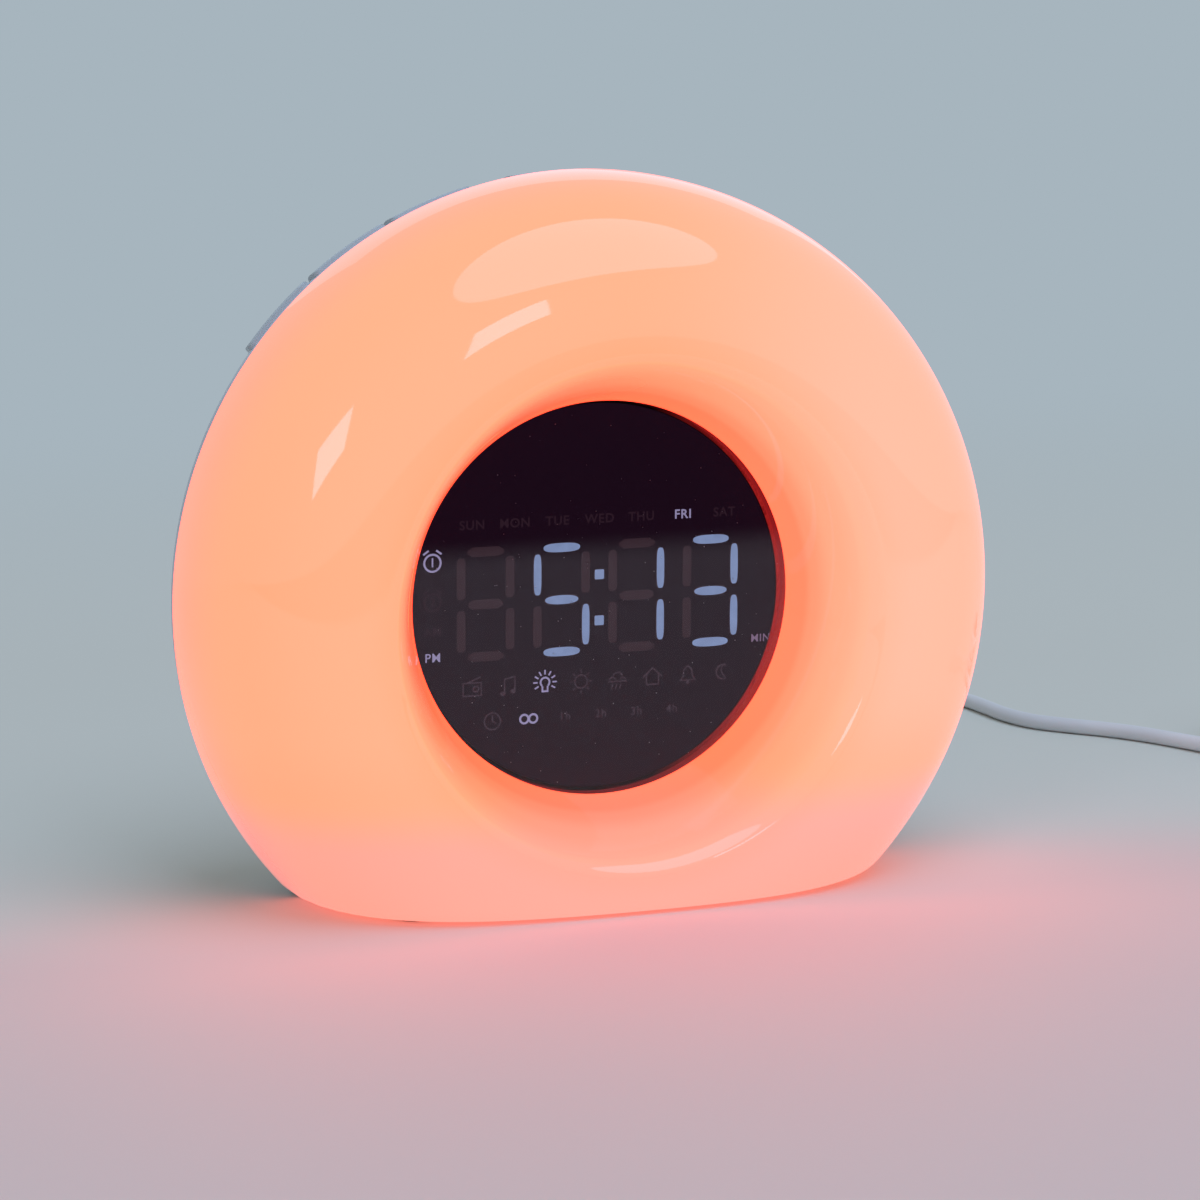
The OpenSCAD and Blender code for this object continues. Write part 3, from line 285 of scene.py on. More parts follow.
def smokedLens():
    # tinted through and through, with a mirror finish on its front face alone
    material, tree, shader = nodeTree("smokedLens")
    tree.nodes.remove(shader)
    clear = add(tree, "ShaderNodeBsdfTransparent")
    clear.inputs["Color"].default_value = (0.52, 0.47, 0.52, 1)
    gloss = add(tree, "ShaderNodeBsdfGlossy")
    gloss.inputs["Roughness"].default_value = 0.02
    fresnel = add(tree, "ShaderNodeFresnel")
    fresnel.inputs["IOR"].default_value = 1.6
    front = mathNode(tree, "LESS_THAN", objectAxes(tree)[1], clock["rimY"] - clock["lensFace"])
    mirror = mathNode(tree, "MULTIPLY", fresnel.outputs[0], front)
    both = mixNode(tree, mirror, clear.outputs[0], gloss.outputs[0])
    tree.links.new(both, tree.nodes["Material Output"].inputs["Surface"])
    return material


def printedFilm(name, colour, leakAndPaintedGlow, side=None):
    # matt ink with a faint cloudiness, through which a little light leaks; where a side is given, a painted glow
    # grows towards the right
    material, tree, shader = nodeTree(name)
    put(shader, Roughness=0.85, Emission_Color=(*leakAndPaintedGlow, 1), Emission_Strength=1.0)
    # painted glow: the emission rises from none to full across the given span towards the right
    if side:
        tree.links.new(spanNode(tree, objectAxes(tree)[0], *side), shader.inputs["Emission Strength"])
    low, high = (tuple(c * k for c in colour) for k in (0.94, 1.06))
    tint = rampNode(tree, noiseNode(tree, 90.0, 2.0), [(0.3, low), (0.7, high)])
    tree.links.new(tint, shader.inputs["Base Color"])
    return material


def lightMark(name, colour, strength):
    material, tree, shader = nodeTree(name)
    put(shader, Base_Color=(0.03, 0.028, 0.035, 1), Roughness=0.7, Emission_Color=(*colour, 1))
    cloudy = mathNode(tree, "MULTIPLY_ADD", noiseNode(tree, 500.0, 1.0), 0.3 * strength, 0.85 * strength)
    tree.links.new(cloudy, shader.inputs["Emission Strength"])
    return material


def cordVinyl():
    material, tree, shader = nodeTree("cordVinyl")
    put(shader, Roughness=0.42)
    tint = rampNode(tree, noiseNode(tree, 18.0, 4.0), [(0.3, (0.62, 0.65, 0.68)), (0.7, (0.74, 0.76, 0.78))])
    tree.links.new(tint, shader.inputs["Base Color"])
    around, along = (add(tree, "ShaderNodeAttribute", attribute_name=k).outputs["Fac"] for k in ("around", "along"))
    both = add(tree, "ShaderNodeCombineXYZ")
    tree.links.new(mathNode(tree, "MULTIPLY", around, 6.0), both.inputs["X"])
    tree.links.new(mathNode(tree, "MULTIPLY", along, 900.0), both.inputs["Y"])
    bumpFrom(tree, shader, noiseNode(tree, 1.0, 2.0, both.outputs[0]), 0.15, 0.00005)
    return material


finish = {
    "opal": opalGlow(glowSet),
    "smokedLens": smokedLens(),
    # the tape's red glow on the right of the lens is painted light
    "tape": printedFilm("tape", (0.012, 0.01, 0.01), (0.75, 0.03, 0.025), (0.012, 0.034)),
    "darkFilm": printedFilm("darkFilm", (0.03, 0.018, 0.026), (0.034, 0.012, 0.028)),
    "litMark": lightMark("litMark", (0.43, 0.69, 0.98), 1.68),
    "litIcon": lightMark("litIcon", (0.68, 0.72, 1.0), 1.5),
    "halfLit": lightMark("halfLit", (0.8, 0.62, 0.85), 0.8),
    "unlitMark": printedFilm("unlitMark", (0.05, 0.04, 0.046), (0.115, 0.066, 0.08)),
    "dimIcon": printedFilm("dimIcon", (0.045, 0.03, 0.04), (0.084, 0.044, 0.062)),
    "faintIcon": printedFilm("faintIcon", (0.05, 0.035, 0.045), (0.17, 0.12, 0.145)),
    "dust": plain("dust", (0.8, 0.75, 0.72), 0.9),
    "innerWhite": plain("innerWhite", (0.8, 0.8, 0.78), 0.55),
    "led": plain("led", (0.9, 0.75, 0.4), 0.35, coat=0.6),
    "board": plain("board", (0.03, 0.2, 0.09), 0.4, grain=400, coat=0.4, spread=0.2),
    "shell": plain("shell", (0.54, 0.59, 0.65), 0.4, grain=1400, depth=0.000015, spread=0.02),
    "button": plain("button", (0.42, 0.48, 0.53), 0.36, grain=1400, depth=0.000012, spread=0.02),
    "rubber": plain("rubber", (0.07, 0.07, 0.075), 0.8, grain=1100, depth=0.00004),
    "steel": plain("steel", (0.6, 0.6, 0.62), 0.3, metal=1.0, grain=1500, depth=0.00001),
    "blackPlastic": plain("blackPlastic", (0.025, 0.025, 0.028), 0.5),
    "amberFilm": plain("amberFilm", (0.55, 0.2, 0.03), 0.3, coat=0.5),
    "capacitor": plain("capacitor", (0.02, 0.03, 0.09), 0.35, coat=0.3),
    "foam": plain("foam", (0.03, 0.03, 0.03), 0.95, grain=1600, depth=0.0002),
    "wire": plain("wire", (0.3, 0.03, 0.03), 0.45),
    "brass": plain("brass", (0.7, 0.55, 0.28), 0.3, metal=1.0),
    "cord": cordVinyl(),
    "plugWhite": plain("plugWhite", (0.68, 0.7, 0.73), 0.4, grain=1000),
}
print("finishes made:", len(finish))


# power cord: the same route as the solid model, rounded
cordSet = {
    "radius": 0.0018,
    "lead": [(24, 71.5, 20), (24.5, 80.5, 19), (26, 89, 16.5), (29, 97, 13), (33.5, 104.5, 9.5), (39.5, 111.5, 6.5),
             (47, 117, 4), (56, 121.5, 2.5), (65.5, 125, 1.8), (75, 128.5, 1.8), (84, 132, 1.8), (93, 136, 1.8),
             (102, 140.5, 1.8), (110.5, 145, 1.8), (119.5, 148.5, 1.8), (129, 149, 1.8), (138, 146, 1.8),
             (145.5, 140, 1.8), (150, 132, 1.8), (151, 122.5, 1.8), (151.5, 113, 1.8), (154, 103.5, 1.8),
             (159.5, 96, 1.8), (166, 89, 1.8), (171.5, 81.5, 1.8), (176, 73, 1.8), (179.5, 64.5, 2),
             (182.6, 56.5, 2.4)],
    "tail": [(191, 34.5, 13), (194.8, 26.5, 9.8), (199, 19, 6.8), (203.5, 11.5, 5), (207.5, 3.5, 4.2),
             (209.5, -5, 4)],
    "reliefEnd": (24, 67.5, 20),
    "tailEnd": (210, -18, 4),
    "coilCentre": (209.5, 55.5), "coilMiddle": 20.0, "coilLow": 2.4, "pitch": 4.1, "layers": 4, "layerTurns": 2.25,
    "coilFrom": 203.0, "turnPoints": 30,
}


def coilPoint(s, t):
    half = s["pitch"] * s["layerTurns"] / 2
    part = t % (2 * s["layerTurns"])
    radius = s["coilMiddle"] + half - s["pitch"] * part if part < s["layerTurns"] else \
        s["coilMiddle"] - half + s["pitch"] * (part - s["layerTurns"])
    climbed = sum(min(1.0, max(0.0, (t - k * s["layerTurns"]) * 2 + 0.5)) for k in range(1, s["layers"]))
    angle = math.radians(s["coilFrom"] + 360 * t)
    return Vector((s["coilCentre"][0] + radius * math.cos(angle), s["coilCentre"][1] + radius * math.sin(angle),
                   s["coilLow"] + s["pitch"] * climbed))


def rounded(points, steps=5):
    # a smooth curve through the points
    points = [Vector(p) for p in points]
    ends = [2 * points[0] - points[1], *points, 2 * points[-1] - points[-2]]
    made = []
    for a, b, c, d in zip(ends, ends[1:], ends[2:], ends[3:]):
        for k in range(steps):
            t = k / steps
            made.append(0.5 * (2 * b + (c - a) * t + (2 * a - 5 * b + 4 * c - d) * t * t
                               + (3 * b - a - 3 * c + d) * t * t * t))
    return made + [points[-1]]


def cordTree(tree, given, result):
    # a round section carried along the route, with its place along and around kept for the vinyl's grain
    def stored(name, place, geometry):
        value = step(tree, "GeometryNodeSplineParameter", place, {})
        return step(tree, "GeometryNodeStoreNamedAttribute", "Geometry",
                    {"Geometry": geometry, "Name": name, "Value": value}, data_type="FLOAT", domain="POINT")

    section = step(tree, "GeometryNodeCurvePrimitiveCircle", "Curve",
                   {"Resolution": given["Sides"], "Radius": given["Radius"]})
    tube = step(tree, "GeometryNodeCurveToMesh", "Mesh",
                {"Curve": stored("along", "Length", given["Geometry"]),
                 "Profile Curve": stored("around", "Factor", section), "Fill Caps": True})
    real = step(tree, "GeometryNodeRealizeInstances", "Geometry", {"Geometry": tube})
    tree.links.new(step(tree, "GeometryNodeSetMaterial", "Geometry", {"Geometry": real, "Material": finish["cord"]}),
                   result)


def makeCord(s):
    turns = s["layers"] * s["layerTurns"]
    angle = math.radians(s["coilFrom"])
    heading = Vector((-math.sin(angle), math.cos(angle), 0)) * 2000 * s["radius"]
    first, last = coilPoint(s, 0), coilPoint(s, turns - 1e-9)
    lead = rounded([s["reliefEnd"], *s["lead"], first - 2 * heading, first - heading])
    coil = [coilPoint(s, k / s["turnPoints"]) for k in range(int(turns * s["turnPoints"]))] + [last]
    tail = rounded([last + heading, last + 2 * heading, *s["tail"],
                    Vector(s["tailEnd"]) + Vector((0, 3.6, 0)), s["tailEnd"]])
    route = [p / 1000 for p in lead + coil + tail]
    curve = bpy.data.curves.new("cordRoute", "CURVE")
    curve.dimensions = "3D"
    spline = curve.splines.new("POLY")
    spline.points.add(len(route) - 1)
    for point, place in zip(spline.points, route):
        point.co = (*place, 1)
    mesh = grown("powerCord", curve, cordTree, {"Radius": s["radius"], "Sides": 14})
    smoothByAngle(mesh, 50)
    obj = meshObject("powerCord", mesh)
    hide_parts("power_cord", "cord_coil", "cord_tail")


makeCord(cordSet)


# opal ring: one section swept round the axis, cut flat underneath with a soft edge
ringSet = {"wall": 0.0022, "bore": 0.0392, "ledge": 0.0102, "hubWall": 0.0038, "hubEnd": 0.00115, "softEdge": 0.003,
           "flare": 0.004, "flareRise": 0.0076, "crestIn": 0.0045, "hubStart": 0.001,
           "hollowFlare": 0.8, "hollowRise": 0.75, "rimSteps": 72, "flareSteps": 40, "segments": 288}


def superQuarter(centre, reach, start, height, power, count):
    return [(centre + reach * math.cos(a) ** (2 / power), start + height * math.sin(a) ** (2 / power))
            for a in (math.pi / 2 * k / count for k in range(count + 1))]


def bend(a, b, c, d, count):
    # a cubic curve from a to d, drawn towards b and c
    steps = [k / count for k in range(count + 1)]
    return [tuple((1 - t) ** 3 * p + 3 * (1 - t) ** 2 * t * q + 3 * (1 - t) * t * t * r + t ** 3 * v
                  for p, q, r, v in zip(a, b, c, d)) for t in steps]


def softMin(a, b, soft):
    near = max(soft - abs(a - b), 0) / soft
    return min(a, b) - near * near * soft / 4


def makeRing(s):
    c = clock
    wall, crest, hub = s["wall"], c["crestRadius"], s["bore"] + s["hubWall"]
    outer = superQuarter(crest, c["ringRadius"] - crest, 0, -c["crestDepth"], c["fullness"], s["rimSteps"])
    lens, front, top = c["lensRadius"], -c["lensFront"], -c["crestDepth"]
    inner = bend((lens, front), (lens + s["flare"], front - s["flareRise"]), (crest - s["crestIn"], top),
                 (crest, top), s["flareSteps"])
    inner.reverse()
    back = [(lens, -s["ledge"]), (s["bore"], -s["ledge"]), (s["bore"], -s["hubEnd"]), (hub, -s["hubEnd"])]
    bow = (lens + s["flare"] + s["hollowFlare"] * wall, front - s["flareRise"] + s["hollowRise"] * wall)
    hollowIn = bend((hub, front + s["hubStart"]), bow, (crest - s["crestIn"] + wall, top + wall), (crest, top + wall),
                    s["flareSteps"] // 2)
    hollowOut = superQuarter(crest, c["ringRadius"] - wall - crest, 0, wall - c["crestDepth"], c["fullness"],
                             s["rimSteps"] // 2)
    hollowOut.reverse()
    loop = [(p, 0.0) for p in outer + inner[1:] + back] + [(p, wall) for p in hollowIn + hollowOut[1:]]
    count, sides = len(loop), s["segments"]
    bm = bmesh.new()
    rows = []
    for k in range(sides):
        angle = 2 * math.pi * (k + 0.5) / sides
        cut = c["baseDrop"] / -math.sin(angle) if math.sin(angle) < -0.4 else 1.0
        row = []
        for (r, y), inset in loop:
            r = softMin(r, cut - inset, s["softEdge"])
            row.append(bm.verts.new((r * math.cos(angle), c["rimY"] + y, c["axisZ"] + r * math.sin(angle))))
        rows.append(row)
    for k in range(sides):
        a, b = rows[k], rows[(k + 1) % sides]
        for i in range(count):
            j = (i + 1) % count
            bm.faces.new((a[i], a[j], b[j], b[i]))
    bmesh.ops.recalc_face_normals(bm, faces=bm.faces)
    mesh = bpy.data.meshes.new("opalRing")
    bm.to_mesh(mesh)
    bm.free()
    smoothByAngle(mesh, 40)
    mesh.materials.append(finish["opal"])
    obj = meshObject("opalRing", mesh)
    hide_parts("front_diffuser")


makeRing(ringSet)
print("opal ring made")


# solid model's parts, joined and shaded smooth where they show
def dressed(node, material, name=None):
    source = frame["nodes"][node]
    mesh = source.data.copy()
    bm = bmesh.new()
    bm.from_mesh(mesh)
    bmesh.ops.remove_doubles(bm, verts=bm.verts, dist=1e-6)
    bm.to_mesh(mesh)
    bm.free()
    smoothByAngle(mesh)
    mesh.materials.clear()
    mesh.materials.append(material)
    draft = placed("draft", mesh)
    # large flat faces keep a flat shading beside the round edges
    draft.modifiers.new("weight", "WEIGHTED_NORMAL").keep_sharp = True
    shaded = evaluatedMesh(draft, name or node + "Skin")
    obj = meshObject(shaded.name, shaded, source["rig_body"])
    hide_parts(node)
    return obj


def paint(node, material):
    mesh = frame["nodes"][node].data
    mesh.materials.clear()
    mesh.materials.append(material)


buttonNodes = ["snooze_button", "button_left_top", "button_left_mid", "button_left_low", "button_right_top",
               "button_right_mid", "button_right_low"]
dressed("rear_housing", finish["shell"], "rearShell")
for node in buttonNodes:
    dressed(node, finish["button"])

partFinish = {
    "smokedLens": ["display_lens"], "tape": ["lens_tape"], "darkFilm": ["display_film"],
    "innerWhite": ["display_reflector", "display_retainer", "light_chassis", "ring_board", "switch_bracket",
                   "board_connectors", "display_ribbon"],
    "led": ["display_leds", "ring_leds"], "board": ["display_board", "main_board"],
    "rubber": ["rubber_feet", "cord_tie"], "amberFilm": ["switch_flex"], "capacitor": ["board_capacitors"],
    "steel": ["housing_screws", "chassis_screws", "speaker_screws", "speaker_magnet", "door_screw", "coin_cell",
              "dc_barrel", "usb_shell"],
    "blackPlastic": ["tact_switches", "board_chips", "speaker_basket", "speaker_cone", "dc_jack", "plunger_snooze",
                     "plunger_left_top", "plunger_left_mid", "plunger_left_low", "plunger_right_top",
                     "plunger_right_mid", "plunger_right_low"],
    "foam": ["speaker_gasket"], "wire": ["speaker_leads", "power_leads"], "brass": ["cell_contacts"],
    "shell": ["battery_door"], "plugWhite": ["dc_plug", "usb_grip"], "unlitMark": ["digit_segments", "icon_lights"],
}
for name, nodes in partFinish.items():
    for node in nodes:
        paint(node, finish[name])


# display marks, drawn in millimetres from the ring's axis, just in front of the film
markSet = {"depth": 0.0101, "lift": 0.00004, "digitPitch": 16.1, "barGap": 10.6, "strokeGap": 10.3, "barLength": 7.8,
           "midLength": 7.1, "barWidth": 1.85, "strokeLength": 8.3, "strokeWidth": 1.62,
           "colon": (0.0, (4.7, -4.7), 2.0), "middle": (0.6, -0.3), "shown": [None, 5, 1, 3], "dayPitch": 9.0,
           "dayRow": 16.0, "sideMarks": 35.3, "signRow": -17.0, "signPitch": 7.73, "timerRow": -23.9,
           "timerFrom": -22.8}
segmentsOf = {None: "", 1: "bc", 3: "abcdg", 5: "acdfg"}


class Flat:
    # collects flat polygons in the front view, then becomes one mesh
    def __init__(self):
        self.points, self.faces = [], []

    def polygon(self, corners):
        start = len(self.points)
        self.points += corners
        self.faces.append(list(range(start, start + len(corners))))

    def oval(self, x, z, a, b, power=2.0, count=28):
        def part(v):
            return math.copysign(abs(v) ** (2 / power), v)
        self.polygon([(x + a * part(math.cos(t)), z + b * part(math.sin(t)))
                      for t in (2 * math.pi * k / count for k in range(count))])

    def band(self, x, z, inner, outer, start=0, end=360, count=28):
        steps = [math.radians(start + (end - start) * k / count) for k in range(count + 1)]
        for a, b in zip(steps, steps[1:]):
            self.polygon([(x + r * math.cos(t), z + r * math.sin(t))
                          for r, t in ((inner, a), (outer, a), (outer, b), (inner, b))])

    def line(self, points, width, at=(0, 0)):
        for (x0, z0), (x1, z1) in zip(points, points[1:]):
            long = math.hypot(x1 - x0, z1 - z0) or 1
            u, v = (x1 - x0) / long * width / 2, (z1 - z0) / long * width / 2
            self.polygon([(at[0] + x, at[1] + z) for x, z in ((x0 - u + v, z0 - v - u), (x1 + u + v, z1 + v - u),
                                                             (x1 + u - v, z1 + v + u), (x0 - u - v, z0 - v + u))])

    def text(self, words, x, z, size, bold=0.0):
        curve = bpy.data.curves.new("mark", "FONT")
        curve.body, curve.size, curve.align_x, curve.align_y = words, size, "CENTER", "CENTER"
        curve.offset, curve.space_character = bold, 1.12
        curve.resolution_u = 4
        mesh = evaluatedMesh(placed("mark", curve), "mark")
        for face in mesh.polygons:
            self.polygon([(x + mesh.vertices[i].co.x, z + mesh.vertices[i].co.y) for i in face.vertices])
        bpy.data.meshes.remove(mesh)

    def finished(self, name, material, lift):
        y = clock["rimY"] - markSet["depth"] - lift
        mesh = bpy.data.meshes.new(name)
        right, up = markSet["middle"]
        mesh.from_pydata([((right + x) / 1000, y, clock["axisZ"] + (up + z) / 1000) for x, z in self.points], [],
                         self.faces)
        mesh.update()
        front = Vector((0, -1, 0))
        bm = bmesh.new()
        bm.from_mesh(mesh)
        bm.normal_update()
        bmesh.ops.reverse_faces(bm, faces=[f for f in bm.faces if f.normal.dot(front) < 0])
        bmesh.ops.remove_doubles(bm, verts=bm.verts, dist=1e-6)
        bm.to_mesh(mesh)
        bm.free()
        mesh.materials.append(material)
        return meshObject(name, mesh)


def segmentShapes(s, digit, x):
    # each stroke's letter and shape: (middle x, middle z, half length across, half length up, fullness)
    g, w, b = s["barGap"], s["strokeGap"] / 2, s["barWidth"] / 2
    shapes = {"a": (0, g, s["barLength"] / 2, b, 2.7), "g": (0, 0, s["midLength"] / 2, b, 2.3),
              "d": (0, -g, s["barLength"] / 2, b, 2.7)}
    for letter, sx, sz in (("f", -1, 1), ("b", 1, 1), ("e", -1, -1), ("c", 1, -1)):
        shapes[letter] = (sx * w, sz * g / 2, s["strokeWidth"] / 2, s["strokeLength"] / 2, 3.6)
    on = segmentsOf[digit]
    return [((x + p[0], *p[1:]), k in on) for k, p in shapes.items()]


def makeMarks(s):
    lit, unlit = Flat(), Flat()
    for i, digit in enumerate(s["shown"]):
        x = (i - 1.5) * s["digitPitch"]
        for (px, pz, a, b, power), on in segmentShapes(s, digit, x):
            (lit if on else unlit).oval(px, pz, a, b, power)
    cx, zs, side = s["colon"]
    for z in zs:
        lit.oval(cx, z, side / 2, side / 2, 9.0)
    lit.finished("digitsLit", finish["litMark"], s["lift"])
    unlit.finished("digitsUnlit", finish["unlitMark"], s["lift"])

    glow, half, dim, faint = Flat(), Flat(), Flat(), Flat()
    for k, word in enumerate(("SUN", "MON", "TUE", "WED", "THU", "FRI", "SAT")):
        (glow if word == "FRI" else dim).text(word, (k - 3) * s["dayPitch"], s["dayRow"], 2.6, 0.05)
    side = s["sideMarks"]
    for digit, z, board in (("1", 8.9, glow), ("2", 1.0, dim)):
        board.band(-side, z, 1.5, 1.92)
        board.text(digit, -side, z, 2.6, 0.04)
        for sx in (-1, 1):
            board.line([(sx * 0.95, 2.4), (sx * 1.75, 1.85)], 0.4, (-side, z))
    dim.text("AM", -side, -5.0, 2.5, 0.03)
    glow.text("PM", -side, -10.3, 2.5, 0.03)
    half.text("MIN", side, -10.5, 2.25, 0.03)

    row = s["signRow"]
    radio, notes, bulb, sun, cloud, house, bell, moon = ((k - 3.5) * s["signPitch"] for k in range(8))
    faint.line([(-1.9, -1.4), (1.9, -1.4), (1.9, 1.2), (-1.9, 1.2), (-1.9, -1.4)], 0.3, (radio, row))
    faint.line([(-1.2, 1.2), (1.6, 2.3)], 0.3, (radio, row))
    faint.band(radio + 0.8, row - 0.1, 0.4, 0.75)
    faint.line([(-0.9, -1.3), (-0.9, 1.5), (1.3, 2.0), (1.3, -0.9)], 0.32, (notes, row))
    for px, pz in ((-1.3, -1.4), (0.9, -1.0)):
        faint.oval(notes + px, row + pz, 0.62, 0.48)
    glow.band(bulb, row + 0.35, 0.75, 1.15, -50, 230)
    glow.line([(-0.55, -0.6), (-0.55, -1.5), (0.55, -1.5), (0.55, -0.6)], 0.38, (bulb, row))
    for k in range(9):
        u, v = math.cos(math.radians(30 * k - 30)), math.sin(math.radians(30 * k - 30))
        glow.line([(1.75 * u, 1.75 * v), (2.35 * u, 2.35 * v)], 0.34, (bulb, row + 0.35))
    faint.band(sun, row, 1.2, 1.5)
    for k in range(8):
        u, v = math.cos(math.radians(45 * k)), math.sin(math.radians(45 * k))
        faint.line([(1.9 * u, 1.9 * v), (2.3 * u, 2.3 * v)], 0.3, (sun, row))
    for px, pz, r in ((-1.0, -0.4, 0.9), (0.2, 0.3, 1.2), (1.3, -0.4, 0.8)):
        faint.band(cloud + px, row + pz, r - 0.28, r, 20, 160)
    faint.line([(-1.8, -0.5), (2.0, -0.5)], 0.3, (cloud, row))
    for k in (-1, 0, 1):
        faint.line([(k * 0.9, -1.1), (k * 0.9 - 0.3, -1.9)], 0.28, (cloud, row))
    faint.line([(-1.9, 0.1), (0, 1.8), (1.9, 0.1)], 0.32, (house, row))
    faint.line([(-1.3, 0.2), (-1.3, -1.6), (1.3, -1.6), (1.3, 0.2)], 0.32, (house, row))
    faint.line([(-1.6, -1.2), (-1.0, -0.4), (-0.9, 0.9), (0, 1.8), (0.9, 0.9), (1.0, -0.4), (1.6, -1.2),
                (-1.6, -1.2)], 0.3, (bell, row))
    faint.oval(bell, row - 1.7, 0.4, 0.35)
    faint.band(moon, row, 1.3, 1.65, 60, 300)
    faint.band(moon + 1.0, row + 0.4, 1.25, 1.5, 110, 250)

    row = s["timerRow"]
    timer, again, *hours = (s["timerFrom"] + k * s["signPitch"] for k in range(6))
    faint.band(timer, row, 1.55, 1.85)
    faint.line([(0, 1.1), (0, 0), (0.8, -0.4)], 0.3, (timer, row))
    for sx in (-1, 1):
        glow.band(again + sx * 0.95, row, 0.65, 1.1)
    for k, x in enumerate(hours):
        faint.text(str(k + 1) + "h", x, row, 2.4, 0.03)
    glow.finished("signsLit", finish["litIcon"], s["lift"])
    half.finished("signsHalfLit", finish["halfLit"], s["lift"])
    dim.finished("signsDim", finish["dimIcon"], s["lift"])
    faint.finished("signsFaint", finish["faintIcon"], s["lift"])


makeMarks(markSet)
print("display marks made")


# dust on the lens, scattered by a node tree
dustSet = {"radius": 0.0385, "count": 130, "speck": 0.0001, "seed": 11}


def dustTree(tree, given, result):
    spots = step(tree, "GeometryNodeDistributePointsOnFaces", "Points",
                 {"Mesh": given["Geometry"], "Density": given["Density"], "Seed": given["Seed"]})
    speck = step(tree, "GeometryNodeMeshIcoSphere", "Mesh", {"Radius": given["Speck"], "Subdivisions": 1})
    size = step(tree, "FunctionNodeRandomValue", 1, {2: 0.4, 3: 1.3, "Seed": given["Seed"]}, data_type="FLOAT")
    copies = step(tree, "GeometryNodeInstanceOnPoints", "Instances",
                  {"Points": spots, "Instance": speck, "Scale": size})
    real = step(tree, "GeometryNodeRealizeInstances", "Geometry", {"Geometry": copies})
    tree.links.new(step(tree, "GeometryNodeSetMaterial", "Geometry", {"Geometry": real, "Material": finish["dust"]}),
                   result)


def makeDust(s):
    disc = bpy.data.meshes.new("lensFace")
    turns = [2 * math.pi * k / 48 for k in range(48)]
    disc.from_pydata([(s["radius"] * math.cos(t), clock["rimY"] - clock["lensFace"] - 0.00015,
                       clock["axisZ"] + s["radius"] * math.sin(t)) for t in turns], [], [list(range(48))])
    density = s["count"] / (math.pi * s["radius"] ** 2)
    meshObject("lensDust", grown("lensDust", disc, dustTree, {"Density": density, "Seed": s["seed"],
                                                             "Speck": s["speck"]}))


makeDust(dustSet)


# floor, backdrop and light
# the floor's two tones paint the ring's pink glow on the floor in front of the clock
stageSet = {"backdrop": (0.386, 0.462, 0.515), "ambient": (0.34, 0.33, 0.32), "fadeFrom": 0.15, "fadeTo": 0.75,
            "paintedGlowFloorTones": [(-0.04, (0.69, 0.595, 0.565)), (0.02, (0.64, 0.67, 0.615))], "toneSpan": (-0.5, 0.1),
            "darkFrom": -0.38, "darkTo": -0.44, "darkColour": (0.02, 0.015, 0.02), "lampColour": (0.6, 0.74, 1.0),
            "middle": Vector((0, -0.02, 0.07)),
            "lamps": [("softBox", "ELLIPSE", (0.17, -0.36, 0.92), 2.2, (2.05, 2.2), 2.0, (0.9, -0.1, 0.35)),
                      ("windowHigh", "RECTANGLE", (0.07, -0.9, 0.43), 3.0, (0.57, 0.58), 5.2, (1, 0, 0.3)),
                      ("windowLeft", "RECTANGLE", (-0.65, -0.66, 0.39), 3.0, (0.64, 0.8), 5.4, (1, 0, 0.3)),
                      ("rearFill", "RECTANGLE", (0.25, 0.92, 0.32), 2.4, (2.0, 1.0), 0.4, (1, 0, 0))]}


def makeLamp(name, outline, towards, distance, size, radiance, sideways):
    # a flat lamp that faces the clock from a given direction
    data = bpy.data.lights.new(name, "AREA")
    data.shape = outline
    data.size, data.size_y = size
    data.energy = radiance * math.pi * size[0] * size[1]
    data.color = stageSet["lampColour"]
    obj = placed(name, data)
    back = Vector(towards).normalized()
    right = (Vector(sideways) - back * back.dot(Vector(sideways))).normalized()
    turn = Matrix((right, back.cross(right), back)).transposed().to_4x4()
    obj.matrix_world = Matrix.Translation(stageSet["middle"] + back * distance) @ turn


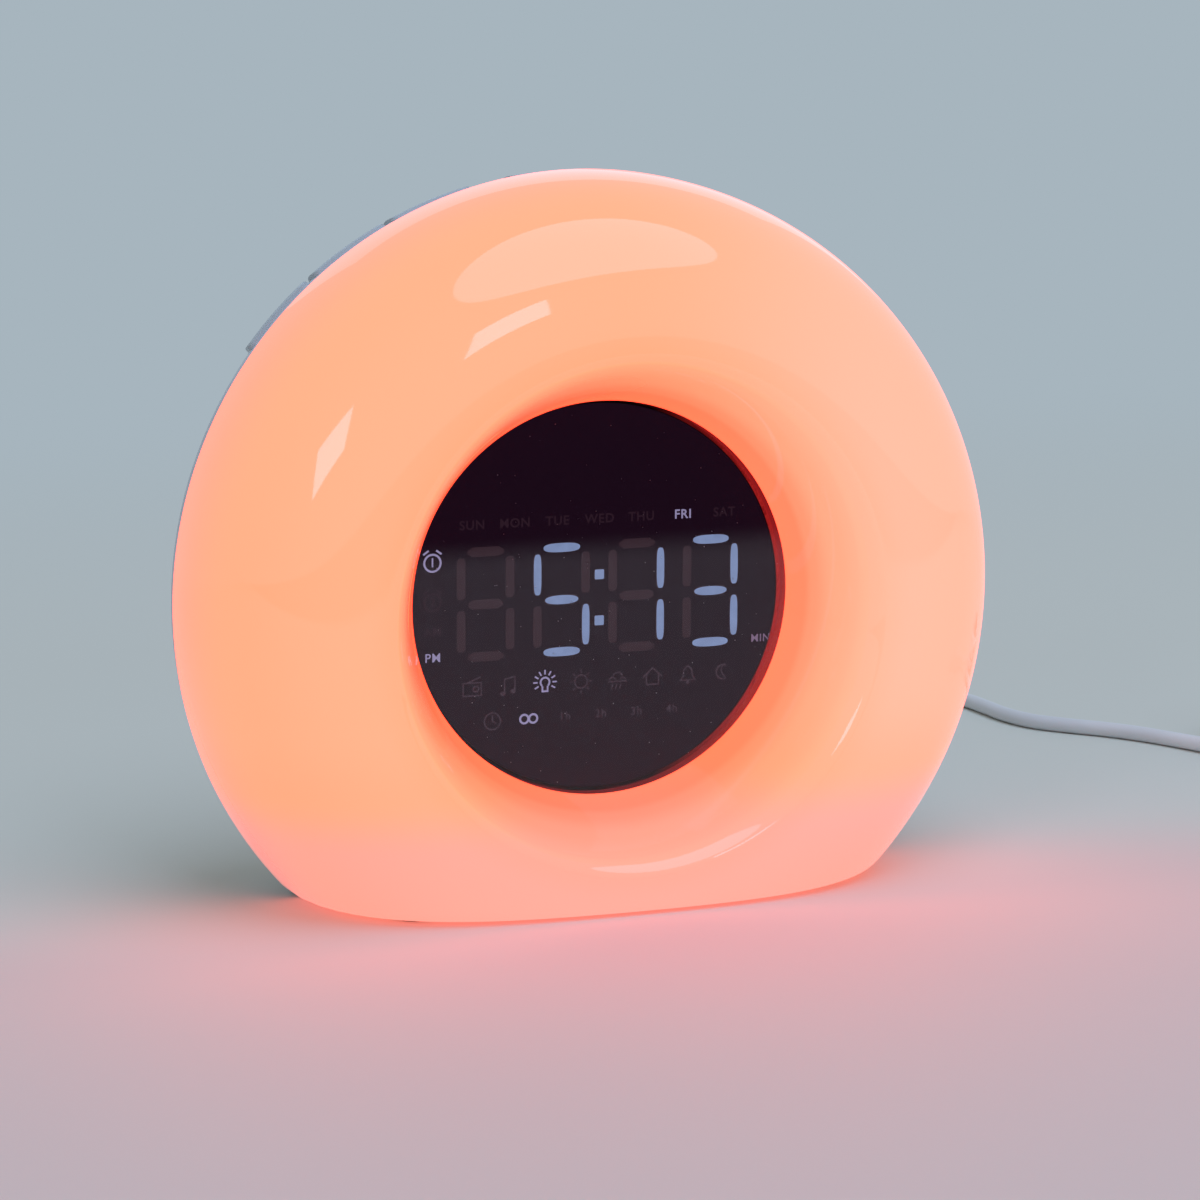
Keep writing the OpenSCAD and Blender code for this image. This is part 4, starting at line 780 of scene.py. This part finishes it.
def makeStage(s):
    mesh = bpy.data.meshes.new("floor")
    mesh.from_pydata([(-6, -4, 0), (6, -4, 0), (6, 6, 0), (-6, 6, 0)], [], [(0, 1, 2, 3)])
    floor = placed("floor", mesh)
    material, tree, shader = nodeTree("floorPaint")
    put(shader, Roughness=0.75)
    away = objectAxes(tree)[1]
    first, last = s["toneSpan"]
    stops = [((y - first) / (last - first), colour) for y, colour in s["paintedGlowFloorTones"]]
    # painted light: the floor's colour is pinker in front of the clock, where the ring's glow falls, and greener
    # behind it
    tree.links.new(rampNode(tree, spanNode(tree, away, first, last), stops), shader.inputs["Base Color"])
    # the near floor is dark for glossy rays alone, a painted dark reflection, and the far floor glows in the
    # backdrop's colour
    near = spanNode(tree, away, s["darkFrom"], s["darkTo"], "SMOOTHSTEP")
    mirrored = mathNode(tree, "MULTIPLY", near, add(tree, "ShaderNodeLightPath").outputs["Is Glossy Ray"])
    dark = put(add(tree, "ShaderNodeBsdfDiffuse"), Color=(*s["darkColour"], 1))
    shade = mixNode(tree, mirrored, shader.outputs[0], dark.outputs[0])
    far = put(add(tree, "ShaderNodeEmission"), Color=(*s["backdrop"], 1))
    fade = spanNode(tree, away, s["fadeFrom"], s["fadeTo"], "SMOOTHSTEP")
    tree.links.new(mixNode(tree, fade, shade, far.outputs[0]), tree.nodes["Material Output"].inputs["Surface"])
    mesh.materials.append(material)

    world = bpy.data.worlds.new("studio")
    scene.world = world
    world.use_nodes = True
    tree = world.node_tree
    back = tree.nodes["Background"]
    back.inputs["Color"].default_value = (*s["ambient"], 1)
    seen = add(tree, "ShaderNodeBackground")
    seen.inputs["Color"].default_value = (*s["backdrop"], 1)
    path = add(tree, "ShaderNodeLightPath")
    both = mathNode(tree, "MAXIMUM", path.outputs["Is Camera Ray"], path.outputs["Is Glossy Ray"])
    both = mathNode(tree, "MAXIMUM", both, path.outputs["Is Transmission Ray"])
    mix = mixNode(tree, both, back.outputs[0], seen.outputs[0])
    tree.links.new(mix, tree.nodes["World Output"].inputs["Surface"])
    for lamp in s["lamps"]:
        makeLamp(*lamp)


makeStage(stageSet)
scene.view_settings.view_transform = "Standard"
print("stage made")
